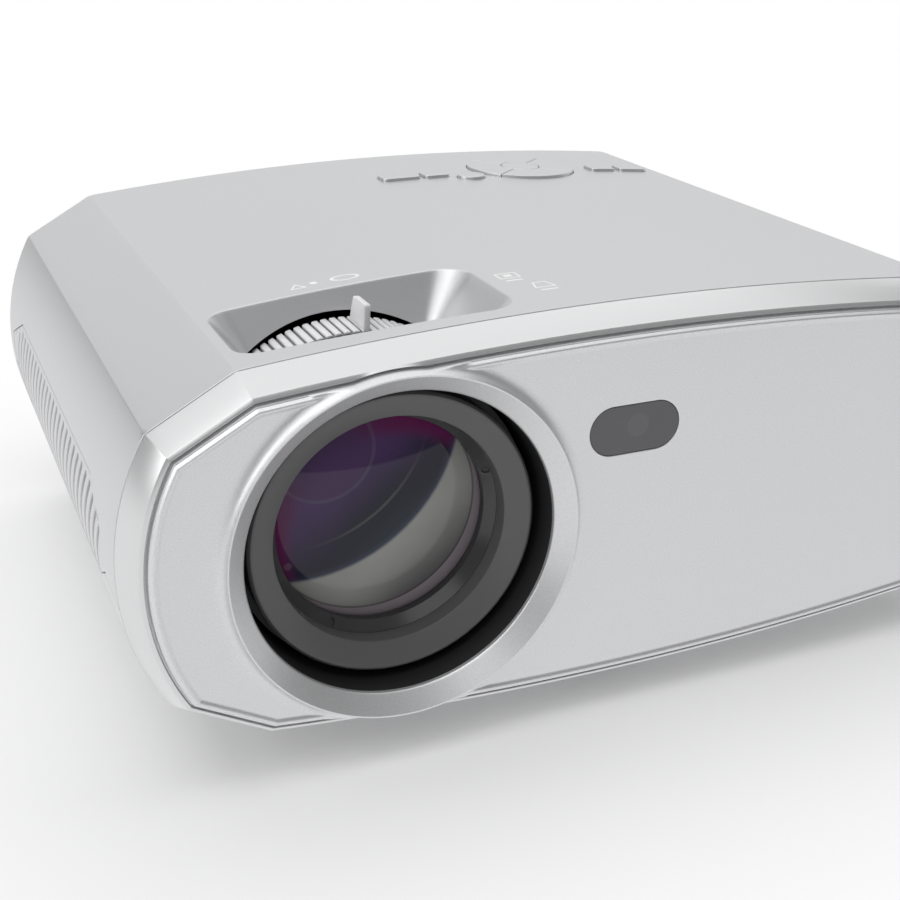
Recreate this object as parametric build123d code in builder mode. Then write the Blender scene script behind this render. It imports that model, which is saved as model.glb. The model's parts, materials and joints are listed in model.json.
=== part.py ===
from build123d import *
from math import cos, pi, radians, sin, sqrt
import os

# A home projector. Millimetres, +Z up, -Y towards the screen, +X to the right seen from the front.
# The origin is on the surface it stands on, under the middle of its box.

# Outer body
body_width = 330.0
body_height = 132.6
cover_depth = 246.5
side_bulge = 12.3
top_crown = 6.5
corner_margin = 39.6
chamfer_height = 15.1
wall = 2.4
seam = 0.25
overshoot = 1.0
foot_height = 8.0
lens_reach = 16.0
split_drop = 9.0

# Front bezel and panel
band_inset = 5.0
band_depth = 10.6
lip_inset = 1.5
lip_depth = 1.05
panel_seat_depth = 9.8
panel_gap = 0.9
panel_thickness = 3.6
panel_bevel = 0.9
panel_border = 2.8
face_sink = 0.6
bezel_flange = 5.5
bezel_flange_thickness = 1.5
bezel_web = 1.4

# Lens surround on the front panel
lens_margin = 86.2
crest_margin = 9.5
crest_width = 0.5
funnel_width = 6.2
throat_depth = -11.1
surround_foot_width = 0.5
surround_fillet_width = 4.2
shroud_wall = 1.6
shroud_rear = 31.0
shroud_flange_width = 4.0

# Lens barrel and its holder
barrel_gap = 3.2
slide_clearance = 0.05
barrel_front = -2.9
barrel_rear = 50.1
barrel_wall = 8.9
barrel_mouth_depth = 0.45
barrel_rim = 1.6
barrel_bevel = 0.9
holder_wall = 2.2
holder_front = 8.0
holder_flange_thickness = 3.0
holder_flange_margin = 10.3
collar_height = 2.2
collar_thickness = 2.0

# Focus ring and the way it drives the barrel
ring_front = 34.6
ring_rear = 51.2
ring_margin = 10.8
ring_relief_depth = 3.1
ring_relief_wall = 2.4
rib_height = 1.1
rib_count = 112
rib_share = 0.72
tab_angle = 5.4
tab_thickness = 2.2
tab_rise = 8.1
tab_corners = (ring_front + 0.7, ring_front + 12.2, ring_front + 14.3)
tab_rounding = 0.6
ring_clearance = 0.2
retainer_thickness = 2.0
retainer_height = 2.2
pin_depth = 42.2
pin_radius = 1.25
pin_grip = 3.4
pin_ring_gap = 3.5
pin_angles = (-90, 30, 150)
pin_forward_travel = 3.4
pin_rear_travel = 4.8

# Glass in the barrel
glass_clearance = 0.1
front_lens_gap = 0.2
front_lens_edge = (13.8, 17.5)
front_lens_curves = (100.0, 140.0)
front_seat_depth = 18.3
front_seat_width = 2.5
front_ring_span = (6.0, 12.2)
front_ring_widths = (3.5, 1.5)
notch_radius = 1.1
notch_depth = 1.6
notch_angles = (19, -120)
stop_span = (24.0, 28.0)
stop_width = 5.5
rear_wall = 7.4
middle_lens_edge = (28.0, 35.0)
middle_lens_curve = 320.0
spacer_span = (35.0, 39.3)
spacer_wall = 3.0
rear_lens_edge = (40.0, 44.0)
rear_lens_curve = 200.0
rear_ring_span = (44.7, 48.2)

# Recess in the top cover
recess_width = 92.0
recess_length = 48.0
recess_front = 9.0
recess_corner = 10.0
recess_low_corner = 2.0
recess_depth = 20.0
recess_side_slope = 0.8
recess_end_slope = 0.55
recess_wall = 2.0
recess_ring_gap = 1.5
recess_rise = 3.0

# Sensor window and receiver
window_x = -1.2
window_z = 27.6
window_length = 32.0
window_height = 16.4
window_thickness = 1.8
window_gap = 0.15
window_ledge = 1.5
receiver_margin = 2.0
eye_radius = 2.5
eye_length = 1.0

# Side grilles
grille_front = 20.0
grille_top_front = 42.0
grille_top_rear = 208.0
grille_rear = 236.0
grille_half_height = 17.5
grille_tip_half_height = 6.5
grille_thickness = 2.2
grille_sink = 0.2
grille_gap = 0.25
grille_border = 2.6
slot_count = 26
slot_pitch = 7.7
slot_first = 31.0
slot_width = 2.6
slot_run = 44.0
slot_lean = 36.9

# Control keys: bars as distance from the right side, depth, width and length
menu_bar = (165.5, 198.0, 17.0, 10.0)
source_bar = (149.25, 197.5, 11.5, 10.0)
volume_down_bar = (67.5, 197.5, 12.0, 10.0)
volume_up_bar = (52.0, 197.5, 14.0, 10.0)
pad_margin = 105.0
pad_depth = 203.0
pad_radius = 24.0
ok_radius = 8.5
ok_flange_radius = 10.0
ok_drop = 2.3
key_gap = 0.3
key_rise = 1.2
key_corner = 2.0
key_edge = 0.4
key_flange = 0.8
key_flange_thickness = 1.4
key_travel = 0.6
key_board_drop = 16.3
key_board_margins = (179.0, 39.0)
key_board_depths = (176.0, 232.0)
key_posts = ((175.0, 226.0), (137.0, 226.0), (73.0, 226.0), (47.0, 226.0), (157.0, 182.0), (57.0, 182.0))
board_thickness = 1.6
switch_size = 6.0
switch_height = 3.1
switch_button = 0.5
switch_button_radius = 1.6
key_stem_radius = 2.0
power_key_margin = 135.0
power_key_depth = 189.5
power_key_radius = 6.0

# Optics box
optics_margin = 24.3
optics_wall = 2.5
optics_front = 60.0
optics_aperture_width = 11.4
lid_thickness = 2.5
mirror_depth = 140.0
mirror_thickness = 1.2
mirror_half_run = 62.0
chamber_left = 67.2
bay_offset = 70.8
bay_width = 32.0
bay_half_depth = 74.0
screen_half_depth = 71.2
screen_gap = 2.8
front_fresnel_span = (4.0, 6.0)
lcd_span = (14.0, 16.6)
rear_fresnel_span = (24.6, 26.6)
optics_post_inset = 10.0
bay_post_inset = 8.0
mirror_post_offset = (55.0, 50.0)
cone_end_half = 25.0
cone_wall = 2.0
condenser_radius = 27.5
condenser_edge = 2.0
condenser_share = 0.71875
condenser_curve = 42.0
led_base_half = 28.0
led_base_thickness = 3.0
led_chip_half = 15.0
led_chip_thickness = 1.0
sink_half_depth = 42.0
sink_gap = 2.0
sink_base = 6.0
sink_fin_length = 29.0
sink_fin_count = 20
sink_fin_thickness = 1.2
sink_fan_gap = 4.0

# Fans
fan_size = 80.0
fan_thickness = 20.0
fan_bore_radius = 38.0
fan_hub_radius = 16.0
fan_hub_thickness = 3.0
fan_arm_width = 4.0
fan_pin_radius = 1.5
fan_pin_clearance = 0.05
fan_pin_length = 14.0
fan_hole_radius = 2.2
fan_hole_reach = 35.75
fan_margin = 35.0
exhaust_depth = 140.0
intake_depth = 180.0
rotor_gap = 1.0
rotor_length = 14.5
blade_count = 7
blade_tip_radius = 36.6
blade_chord = 16.0
blade_thickness = 1.2
blade_pitch = 38.0

# Boards and sockets
main_board_depth = 231.0
main_board_margins = (95.0, 65.0)
main_board_top = 32.0
main_rib_inset = 10.0
main_rib_reach = 6.0
main_rib_rise = 8.0
rear_panel_thickness = 2.5
rear_panel_sink = 0.3
socket_gap = 0.3
socket_row = -20.0
hdmi_x = 42.0
hdmi_pitch = 24.0
hdmi_width = 15.0
hdmi_tall = 6.2
usb_x = -8.0
usb_pitch = 24.0
usb_width = 14.6
usb_tall = 7.2
socket_shell = 0.8
socket_cavity_depth = 11.0
tongue_thickness = 1.2
tongue_margin = 1.6
jack_x = -40.0
jack_radius = 3.5
jack_bore_radius = 1.8
jack_body = 11.0
jack_cavity_depth = 12.0
inlet_margin = 43.0
inlet_height = -20.0
inlet_wide = 22.0
inlet_tall = 14.0
inlet_length = 18.2
inlet_cavity_wide = 15.4
inlet_cavity_tall = 8.4
inlet_cavity_depth = 12.0
inlet_pin_pitch = 8.6
inlet_pin_radius = 1.2
inlet_pin_length = 10.0
vent_margin = 40.0
vent_pitch = 7.0
vent_count = 8
vent_tall = 40.0
vent_width = 3.0
power_board_gap = 6.0
power_board_margin = 39.0
power_board_depths = (12.0, 56.0)
power_board_rise = 18.3
transformer_insets = (48.0, 34.0)
transformer_depths = (20.0, 48.0)
transformer_height = 26.0
heat_plate_inset = 25.0
heat_plate_thickness = 3.0
heat_plate_depths = (16.0, 52.0)
heat_plate_height = 30.0
capacitor_inset = 14.0
capacitor_depths = (22.0, 44.0)
capacitor_radius = 9.0
capacitor_height = 34.0
coil_inset = 35.0
coil_depth = 34.0
coil_radius = 8.0
coil_height = 14.0
post_radius = 3.0
post_inset = 6.0

# Speakers
speaker_radius = 20.0
speaker_margin = 24.0
speaker_depth = 39.0
speaker_thickness = 14.0
speaker_rim = 4.0
speaker_dish = 2.0
speaker_dish_radius = 17.0
speaker_magnet_radius = 12.0

# Corner screws
screw_margin = 24.0
screw_front_depth = 12.0
screw_rear_depth = 233.0
screw_post_radius = 4.5
screw_radius = 1.5
screw_clearance = 0.05
screw_head_radius = 2.9
screw_head_gap = 0.3
screw_head_height = 2.4
screw_slot = 0.9
screw_seat_rise = 23.3
screw_grip = 14.0

# Feet and bracket inserts
front_foot_depth = 28.0
foot_disc_radius = 11.0
foot_disc_gap = 0.3
foot_pad_radius = 9.5
foot_pad_height = 2.0
foot_screw_radius = 4.0
foot_screw_clearance = 0.05
foot_screw_top = 46.0
foot_nut_radius = 8.0
foot_nut_height = 22.0
foot_ring_base = 42.0
foot_ring_radius = 7.0
foot_ring_thickness = 2.0
foot_groove_radius = 3.3
knurl_count = 36
knurl_radius = 0.6
rear_foot_x = 100.0
rear_foot_depth = 215.0
rear_foot_radius = 8.5
rear_foot_height = 6.0
rear_foot_pocket = 2.0
rear_foot_gap = 0.15
rear_post_radius = 10.5
rear_post_height = 12.3
bracket_spacing_x = 150.0
bracket_spacing_y = 100.0
bracket_depth = 140.0
bracket_seat_rise = 3.0
insert_bore_radius = 1.65
insert_radius = 3.0
insert_length = 8.0
insert_cap = 1.0

# Derived places
half_width = body_width / 2
half_height = body_height / 2
mid_z = foot_height + half_height
corner_half_width = half_width - corner_margin
parting_y = lens_reach - (cover_depth + lens_reach) / 2
side_corner_x = half_width - side_bulge
shoulder_half_height = half_height - top_crown
side_half_height = shoulder_half_height - chamfer_height
crown_radius = (corner_half_width**2 + top_crown**2) / (2 * top_crown)
bulge_radius = (side_half_height**2 + side_bulge**2) / (2 * side_bulge)
crown_center = half_height - crown_radius
bulge_center = half_width - bulge_radius
split_height = -split_drop
lip_total = band_inset + lip_inset
panel_inset = lip_total + panel_gap
face_depth = face_sink - panel_seat_depth - panel_thickness
lens_x = lens_margin - half_width
crest_radius = half_height - crest_margin
throat_radius = crest_radius - funnel_width
surround_foot_radius = crest_radius + surround_foot_width
surround_fillet_radius = crest_radius + surround_fillet_width
shroud_flange_radius = throat_radius + shroud_flange_width
barrel_radius = throat_radius - barrel_gap
barrel_mouth_radius = barrel_radius - barrel_wall
rear_bore_radius = barrel_radius - rear_wall
spacer_bore_radius = rear_bore_radius - spacer_wall
front_lens_radius = barrel_mouth_radius - front_lens_gap
front_seat_radius = barrel_mouth_radius - front_seat_width
front_ring_radii = tuple(barrel_mouth_radius - width for width in front_ring_widths)
stop_radius = barrel_mouth_radius - stop_width
ring_radius = half_height - ring_margin
ring_relief_radius = ring_radius - ring_relief_depth
tab_top_radius = ring_radius + tab_rise
pin_bottom_radius = barrel_radius - pin_grip
pin_top_radius = ring_radius - pin_ring_gap
holder_flange_half = half_height - holder_flange_margin
rearward = (0, 1, 0)
upward = (0, 0, 1)
rightward = (1, 0, 0)


# Places are given as x, depth behind the parting line of the bezel, and height above mid height
def at(depth):
    return parting_y + depth


def across(depth):
    """Upright plane across the body, drawn on in x and height, facing the screen."""
    return Plane(origin=(0, at(depth), mid_z), x_dir=(1, 0, 0), z_dir=(0, -1, 0))


def side_view(x):
    """Upright plane along the body, drawn on in depth and height, facing right."""
    return Plane(origin=(x, parting_y, mid_z), x_dir=(0, 1, 0), z_dir=(1, 0, 0))


def level(height):
    """Level plane, drawn on in x and depth, facing up."""
    return Plane(origin=(0, parting_y, mid_z + height), x_dir=(1, 0, 0), z_dir=(0, 0, 1))


def radial(angle, radius):
    """Plane facing out from the lens axis at an angle up from the right, drawn on in depth."""
    out = (cos(radians(angle)), 0, sin(radians(angle)))
    return Plane(origin=(lens_x, parting_y, mid_z), x_dir=(0, 1, 0), z_dir=out).offset(radius)


lens_plane = Plane(origin=(lens_x, parting_y, mid_z), x_dir=(1, 0, 0), z_dir=(0, 0, 1))
lens_axis = Axis((lens_x, parting_y, mid_z), rearward)


def outline(plane, points):
    """Flat face with straight sides through these points of a plane."""
    with BuildSketch(plane) as face:
        with BuildLine():
            Polyline(*points, close=True)
        make_face()
    return face.sketch


def disc(plane, spot, radius):
    """Round face about a spot of a plane."""
    with BuildSketch(plane) as face:
        with Locations(spot):
            Circle(radius)
    return face.sketch


def block(x_span, depth_span, height_span, mode=Mode.ADD):
    """Box between two limits in x, depth and height."""
    size = (x_span[1] - x_span[0], depth_span[1] - depth_span[0], height_span[1] - height_span[0])
    with Locations((x_span[0], at(depth_span[0]), mid_z + height_span[0])):
        Box(*size, align=(Align.MIN, Align.MIN, Align.MIN), mode=mode)


def peg(plane, spot, radius, length, mode=Mode.ADD):
    """Round bar from a spot of a plane, along the plane's normal or, below zero, against it."""
    base = Align.MIN if length > 0 else Align.MAX
    with Locations(plane):
        with Locations(spot):
            Cylinder(radius, abs(length), align=(Align.CENTER, Align.CENTER, base), mode=mode)


def turned(points, mode=Mode.ADD):
    """Ring about the lens axis whose section has these corners in radius and depth."""
    revolve(outline(lens_plane, points), axis=lens_axis, mode=mode)


def sleeve(inner, outer, span):
    """Plain ring about the lens axis between two radii and two depths."""
    turned([(inner, span[0]), (outer, span[0]), (outer, span[1]), (inner, span[1])])


def sag(curve, radius):
    """How far a surface of this curve falls back at a radius."""
    return curve - sqrt(curve**2 - radius**2)


def bowed_side(radius, edge_depth, bow):
    """Arc of a lens face from the axis to its edge, bowed to a greater depth or, below zero, a lesser one."""
    curve = (radius**2 + bow**2) / (2 * abs(bow))
    half_bow = bow - sag(curve, radius / 2) * (1 if bow > 0 else -1)
    ThreePointArc((0, edge_depth + bow), (radius / 2, edge_depth + half_bow), (radius, edge_depth))


def lens_element(radius, edge, front_bow, rear_bow):
    """Glass disc whose faces bow out, or in below zero, from its edge at two depths."""
    with BuildSketch(lens_plane) as half_lens:
        with BuildLine():
            Line((0, edge[0] - front_bow), (0, edge[1] + rear_bow))
            bowed_side(radius, edge[1], rear_bow)
            Line((radius, edge[1]), (radius, edge[0]))
            bowed_side(radius, edge[0], -front_bow)
        make_face()
    revolve(half_lens.sketch, axis=lens_axis)


def chamfer_meets(center, radius, inset, sign):
    """Where the corner chamfer, moved in by inset, crosses a circle about center."""
    start = Vector(side_corner_x, side_half_height)
    run = Vector(corner_half_width - side_corner_x, shoulder_half_height - side_half_height)
    along = run.normalized()
    outwards = Vector(along.Y, -along.X)
    start = start - outwards * inset
    away = start - center
    middle = -away.dot(along)
    reach = sqrt(middle**2 - away.dot(away) + radius**2)
    return start + along * (middle + sign * reach)


def body_section(depth, inset=0.0):
    """Section of the body at a depth, with its outline moved in by inset."""
    top = chamfer_meets(Vector(0, crown_center), crown_radius - inset, inset, 1)
    side = chamfer_meets(Vector(bulge_center, 0), bulge_radius - inset, inset, -1)
    crown = half_height - inset
    bulge = half_width - inset
    with BuildSketch(across(depth)) as section:
        with BuildLine():
            ThreePointArc((-top.X, top.Y), (0, crown), (top.X, top.Y))
            Line((top.X, top.Y), (side.X, side.Y))
            ThreePointArc((side.X, side.Y), (bulge, 0), (side.X, -side.Y))
            Line((side.X, -side.Y), (top.X, -top.Y))
            ThreePointArc((top.X, -top.Y), (0, -crown), (-top.X, -top.Y))
            Line((-top.X, -top.Y), (-side.X, -side.Y))
            ThreePointArc((-side.X, -side.Y), (-bulge, 0), (-side.X, side.Y))
            Line((-side.X, side.Y), (-top.X, top.Y))
        make_face()
    return section.sketch


def crown_height(x):
    """Height of the top of the body at x."""
    return crown_center + sqrt(crown_radius**2 - x**2)


def body_fill(inset, mode=Mode.ADD):
    """The body between the bezel and the rear edge, filled, with its sides moved in by inset."""
    extrude(body_section(seam, inset), amount=cover_depth - seam, dir=rearward, mode=mode)


def panel_fill(depth, inset, radius, amount, mode=Mode.ADD):
    """Slab forward from a depth: the body's outline at an inset, swollen by a circle about the lens."""
    extrude(body_section(depth, inset), amount=amount, mode=mode)
    extrude(disc(across(depth), (lens_x, 0), radius), amount=amount, mode=mode)


def window_outline(depth, grow):
    """Stadium of the sensor window, widened by grow."""
    with BuildSketch(across(depth)) as face:
        with Locations((window_x, window_z)):
            SlotOverall(window_length + 2 * grow, window_height + 2 * grow)
    return face.sketch


# Side grille outline in depth and height
grille_corners = [
    (grille_front, grille_tip_half_height),
    (grille_top_front, grille_half_height),
    (grille_top_rear, grille_half_height),
    (grille_rear, grille_tip_half_height),
    (grille_rear, -grille_tip_half_height),
    (grille_top_rear, -grille_half_height),
    (grille_top_front, -grille_half_height),
    (grille_front, -grille_tip_half_height),
]


def grille_outline(inset):
    """Grille outline moved in by inset."""
    with BuildSketch(side_view(0)) as face:
        with BuildLine():
            Polyline(*grille_corners, close=True)
        make_face()
        offset(amount=-inset, kind=Kind.INTERSECTION)
    return face.sketch


def grille_plate(side):
    """Grille on one side, before its slots are cut: a strip of the bulged side."""
    length = grille_rear - grille_front
    extrude(body_section(grille_front, grille_sink), amount=length, dir=rearward)
    extrude(
        body_section(grille_front, grille_sink + grille_thickness),
        amount=length,
        dir=rearward,
        mode=Mode.SUBTRACT,
    )
    extrude(grille_outline(grille_gap), amount=side * body_width, mode=Mode.INTERSECT)


# Focus recess
recess_top = crown_height(lens_x)
recess_middle = recess_front + recess_length / 2
recess_corner_loss = (recess_corner - recess_low_corner) / recess_depth


def recess_section(drop, grow):
    """Rounded outline of the recess, this far below the crown."""
    width = recess_width - 2 * recess_side_slope * drop + 2 * grow
    length = recess_length - 2 * recess_end_slope * drop + 2 * grow
    corner = recess_corner - recess_corner_loss * drop + grow
    with BuildSketch(level(recess_top - drop)) as face:
        with Locations((lens_x, recess_middle)):
            RectangleRounded(width, length, corner)
    return face.sketch


def from_right(place):
    """A place whose x was given from the body's right side."""
    return (half_width - place[0], *place[1:])


# Keys: the bars and the power key stand by the pad, whose keys are quarters of a ring
key_board_height = half_height - key_board_drop
key_board_span = tuple(half_width - margin for margin in key_board_margins)
pad_x = half_width - pad_margin
power_key_x = half_width - power_key_margin
board_top = key_board_height + board_thickness
stem_low = board_top + switch_height + switch_button + key_travel + key_gap
menu_place = from_right(menu_bar)
source_place = from_right(source_bar)
volume_down_place = from_right(volume_down_bar)
volume_up_place = from_right(volume_up_bar)
pad_key_middle = (pad_radius + ok_radius) / 2
pad_angles = {"right": 0, "up": 90, "left": 180, "down": 270}


def bar_outline(place, grow):
    """Rounded bar of one key seen from above."""
    x, depth, width, length = place
    with BuildSketch(level(0)) as face:
        with Locations((x, depth)):
            RectangleRounded(width + 2 * grow, length + 2 * grow, key_corner + grow)
    return face.sketch


def quarter_outline(angle, grow):
    """Quarter of the pad's ring, clear of its neighbours by the gap; grow widens only the rim."""
    cleft = key_gap * sqrt(2)
    far = 2 * pad_radius
    with BuildSketch() as quarter:
        Circle(pad_radius + grow)
        Circle(ok_radius + key_gap, mode=Mode.SUBTRACT)
        with BuildLine():
            Polyline((cleft, 0), (far + cleft, far), (far + cleft, -far), close=True)
        make_face(mode=Mode.INTERSECT)
    with BuildSketch(level(0)) as face:
        with Locations((pad_x, pad_depth)):
            add(quarter.sketch, rotation=angle)
    return face.sketch


def key_rim(flange, drop):
    """The flange of a key, held under the cover."""
    flange_top = wall + key_gap + drop
    with BuildPart() as rim:
        extrude(flange, amount=body_height, dir=upward)
        body_fill(flange_top, mode=Mode.INTERSECT)
        body_fill(flange_top + key_flange_thickness, mode=Mode.SUBTRACT)
    return rim.part


def key_cap(cap, drop):
    """The crowned cap of a key, down to the base of its flange."""
    with BuildPart() as top:
        extrude(cap, amount=body_height, dir=upward)
        body_fill(-key_rise, mode=Mode.INTERSECT)
        body_fill(wall + key_gap + drop + key_flange_thickness, mode=Mode.SUBTRACT)
        fillet(top.faces().sort_by(Axis.Z)[-1].edges(), key_edge)
    return top.part


def key_stem(x, depth, drop=0.0):
    """The stem of a key, from its cap down to just over its switch."""
    reach = crown_height(x) - wall - key_gap - drop - stem_low
    peg(level(stem_low), (x, depth), key_stem_radius, reach)


key_spots = [
    menu_place[:2],
    source_place[:2],
    volume_down_place[:2],
    volume_up_place[:2],
    (power_key_x, power_key_depth),
    (pad_x, pad_depth),
    (pad_x + pad_key_middle, pad_depth),
    (pad_x - pad_key_middle, pad_depth),
    (pad_x, pad_depth + pad_key_middle),
    (pad_x, pad_depth - pad_key_middle),
]

# Optics box seen from above: a chamber cut off by the mirror, and a bay for the flat screens
fan_x = half_width - fan_margin
optics_half_height = half_height - optics_margin
optics_aperture_radius = barrel_radius - optics_aperture_width
screen_half_height = optics_half_height - screen_gap
sink_half_height = optics_half_height - sink_gap
bay_left = lens_x + bay_offset
bay_right = bay_left + bay_width
sink_x = fan_x - sink_fan_gap - sink_fin_length - sink_base
cone_length = sink_x - led_base_thickness - bay_right
mirror_back = (optics_wall + mirror_thickness) * sqrt(2)
bay_front = mirror_depth - bay_half_depth
bay_rear = mirror_depth + bay_half_depth
chamber_left_x = lens_x - chamber_left
optics_corners = [
    (chamber_left_x, optics_front),
    (bay_left - bay_front + optics_front, optics_front),
    (bay_left, bay_front),
    (bay_right, bay_front),
    (bay_right, bay_rear),
    (lens_x + bay_half_depth - mirror_back, bay_rear),
    (chamber_left_x, mirror_depth - chamber_left + mirror_back),
]
optics_posts = [
    (chamber_left_x + optics_post_inset, optics_front + optics_post_inset),
    (bay_right - optics_post_inset, bay_front + bay_post_inset),
    (bay_right - optics_post_inset, bay_rear - bay_post_inset),
    (lens_x + mirror_post_offset[0], mirror_depth + mirror_post_offset[1]),
]


def optics_plan(height, inset):
    """Outline of the optics box, moved in by inset."""
    with BuildSketch(level(height)) as face:
        with BuildLine():
            Polyline(*optics_corners, close=True)
        make_face()
        offset(amount=-inset, kind=Kind.INTERSECTION)
    return face.sketch


def light_section(x, half_depth, half_height):
    """Upright rectangle across the light's way."""
    with BuildSketch(side_view(x)) as face:
        with Locations((mirror_depth, 0)):
            Rectangle(2 * half_depth, 2 * half_height)
    return face.sketch


def screen(span):
    """Flat screen of the optics bay, between two distances from the bay's left."""
    depths = (mirror_depth - screen_half_depth, mirror_depth + screen_half_depth)
    block((bay_left + span[0], bay_left + span[1]), depths, (-screen_half_height, screen_half_height))


# Fans: both blow out along x, the one on the right at its right face
def fan_span(side):
    """Limits in x of the fan on one side."""
    return (fan_x, fan_x + fan_thickness) if side > 0 else (-fan_x - fan_thickness, -fan_x)


def fan_frame(side, depth):
    """Square frame with a round duct, a hub on four arms at its outer face and the rotor's pin."""
    near, far = fan_span(side)
    outer = side * (fan_x + fan_thickness)
    hub_face = outer - side * fan_hub_thickness
    half = fan_size / 2
    block((near, far), (depth - half, depth + half), (-half, half))
    peg(side_view(near), (depth, 0), fan_bore_radius, fan_thickness, mode=Mode.SUBTRACT)
    for across_hole in (-fan_hole_reach, fan_hole_reach):
        for up_hole in (-fan_hole_reach, fan_hole_reach):
            spot = (depth + across_hole, up_hole)
            peg(side_view(near), spot, fan_hole_radius, fan_thickness, mode=Mode.SUBTRACT)
    arms = sorted((hub_face, outer))
    arm_half = fan_arm_width / 2
    arm_reach = fan_bore_radius + overshoot
    block(arms, (depth - arm_half, depth + arm_half), (-arm_reach, arm_reach))
    block(arms, (depth - arm_reach, depth + arm_reach), (-arm_half, arm_half))
    peg(side_view(hub_face), (depth, 0), fan_hub_radius, side * fan_hub_thickness)
    peg(side_view(hub_face), (depth, 0), fan_pin_radius, -side * fan_pin_length)


def fan_rotor(side, depth):
    """Hub with leaning blades, bored for the frame's pin."""
    hub_face = side * (fan_x + fan_thickness - fan_hub_thickness - rotor_gap)
    blade_reach = blade_tip_radius - fan_hub_radius + overshoot
    peg(side_view(hub_face), (depth, 0), fan_hub_radius, -side * rotor_length)
    with Locations(side_view(hub_face - side * rotor_length / 2)):
        with Locations((depth, 0)):
            with PolarLocations(fan_hub_radius - overshoot + blade_reach / 2, blade_count):
                Box(blade_reach, blade_thickness, blade_chord, rotation=(blade_pitch, 0, 0))
    bore = fan_pin_length + fan_pin_clearance - rotor_gap
    peg(side_view(hub_face), (depth, 0), fan_pin_radius + fan_pin_clearance, -side * bore, mode=Mode.SUBTRACT)


# Boards, sockets and the rear panel
panel_rear = cover_depth - rear_panel_sink
panel_inner = panel_rear - rear_panel_thickness
main_left = main_board_margins[0] - half_width
main_right = half_width - main_board_margins[1]
inlet_x = half_width - inlet_margin
vent_first = vent_margin - half_width
speaker_x = half_width - speaker_margin
socket_front = main_board_depth + board_thickness
hdmi_spots = [(hdmi_x + step * hdmi_pitch, socket_row) for step in (0, 1)]
usb_spots = [(usb_x + step * usb_pitch, socket_row) for step in (0, 1)]
power_board_height = power_board_rise - half_height
power_board_top = power_board_height + board_thickness
power_left = foot_nut_radius + power_board_gap
power_right = half_width - power_board_margin
power_posts = [
    (x, depth)
    for x in (power_left + post_inset, power_right - post_inset)
    for depth in (power_board_depths[0] + post_inset, power_board_depths[1] - post_inset)
]
key_post_spots = [from_right(post) for post in key_posts]


def socket(spot, wide, tall):
    """Shielded socket with a tongue, open to the rear."""
    x, height = spot
    inner_wide = wide / 2 - socket_shell
    inner_tall = tall / 2 - socket_shell
    cavity = (panel_rear - socket_cavity_depth, panel_rear)
    block((x - wide / 2, x + wide / 2), (socket_front, panel_rear), (height - tall / 2, height + tall / 2))
    block(
        (x - inner_wide, x + inner_wide),
        cavity,
        (height - inner_tall, height + inner_tall),
        mode=Mode.SUBTRACT,
    )
    block(
        (x - inner_wide + tongue_margin, x + inner_wide - tongue_margin),
        (cavity[0], panel_rear - tongue_margin),
        (height - tongue_thickness / 2, height + tongue_thickness / 2),
    )


# Screws, feet and bracket inserts; the ground is at height -mid_z
screw_x = half_width - screw_margin
screw_seat = screw_seat_rise - half_height
screw_spots = [(side * screw_x, depth) for side in (-1, 1) for depth in (screw_front_depth, screw_rear_depth)]
insert_seat = bracket_seat_rise - half_height
bracket_spots = [
    (side * bracket_spacing_x / 2, bracket_depth + end * bracket_spacing_y / 2)
    for side in (-1, 1)
    for end in (-1, 1)
]
rear_foot_spots = [(side * rear_foot_x, rear_foot_depth) for side in (-1, 1)]
rear_pocket_height = rear_foot_height - rear_foot_pocket - mid_z
foot_nut_top = foot_nut_height - half_height
foot_spot = (0, front_foot_depth)

# Covers
with BuildPart() as cover_tube:
    body_fill(0)
    body_fill(wall, mode=Mode.SUBTRACT)
    extrude(outline(side_view(0), grille_corners), amount=body_width, both=True, mode=Mode.SUBTRACT)

with BuildPart() as top_posts:
    for spot in screw_spots:
        peg(level(split_height + seam), spot, screw_post_radius, body_height)
    for spot in key_post_spots:
        peg(level(board_top), spot, post_radius, body_height)
    body_fill(wall / 2, mode=Mode.INTERSECT)

with BuildPart() as recess_shell:
    loft([recess_section(-recess_rise, recess_wall), recess_section(recess_depth, recess_wall)], ruled=True)
    body_fill(wall / 2, mode=Mode.INTERSECT)

with BuildPart() as top_cover:
    add(cover_tube.part)
    split(bisect_by=level(split_height + seam), keep=Keep.TOP)
    add(top_posts.part)
    for spot in screw_spots:
        peg(
            level(split_height),
            spot,
            screw_radius + screw_clearance,
            screw_grip + 2 * overshoot,
            mode=Mode.SUBTRACT,
        )
    # Sunk recess with sloped walls, open below to the focus ring
    add(recess_shell.part)
    loft(
        [recess_section(-recess_rise, 0), recess_section(recess_depth + overshoot, 0)],
        ruled=True,
        mode=Mode.SUBTRACT,
    )
    peg(
        across(seam),
        (lens_x, 0),
        ring_radius + recess_ring_gap,
        -(recess_middle + recess_length),
        mode=Mode.SUBTRACT,
    )
    # Key openings
    for place in (menu_place, source_place, volume_down_place, volume_up_place):
        extrude(bar_outline(place, key_gap), amount=body_height, dir=upward, mode=Mode.SUBTRACT)
    peg(
        level(board_top),
        (power_key_x, power_key_depth),
        power_key_radius + key_gap,
        half_height,
        mode=Mode.SUBTRACT,
    )
    peg(level(board_top), (pad_x, pad_depth), pad_radius + key_gap, half_height, mode=Mode.SUBTRACT)
top_cover.part.label = "top_cover"

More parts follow.
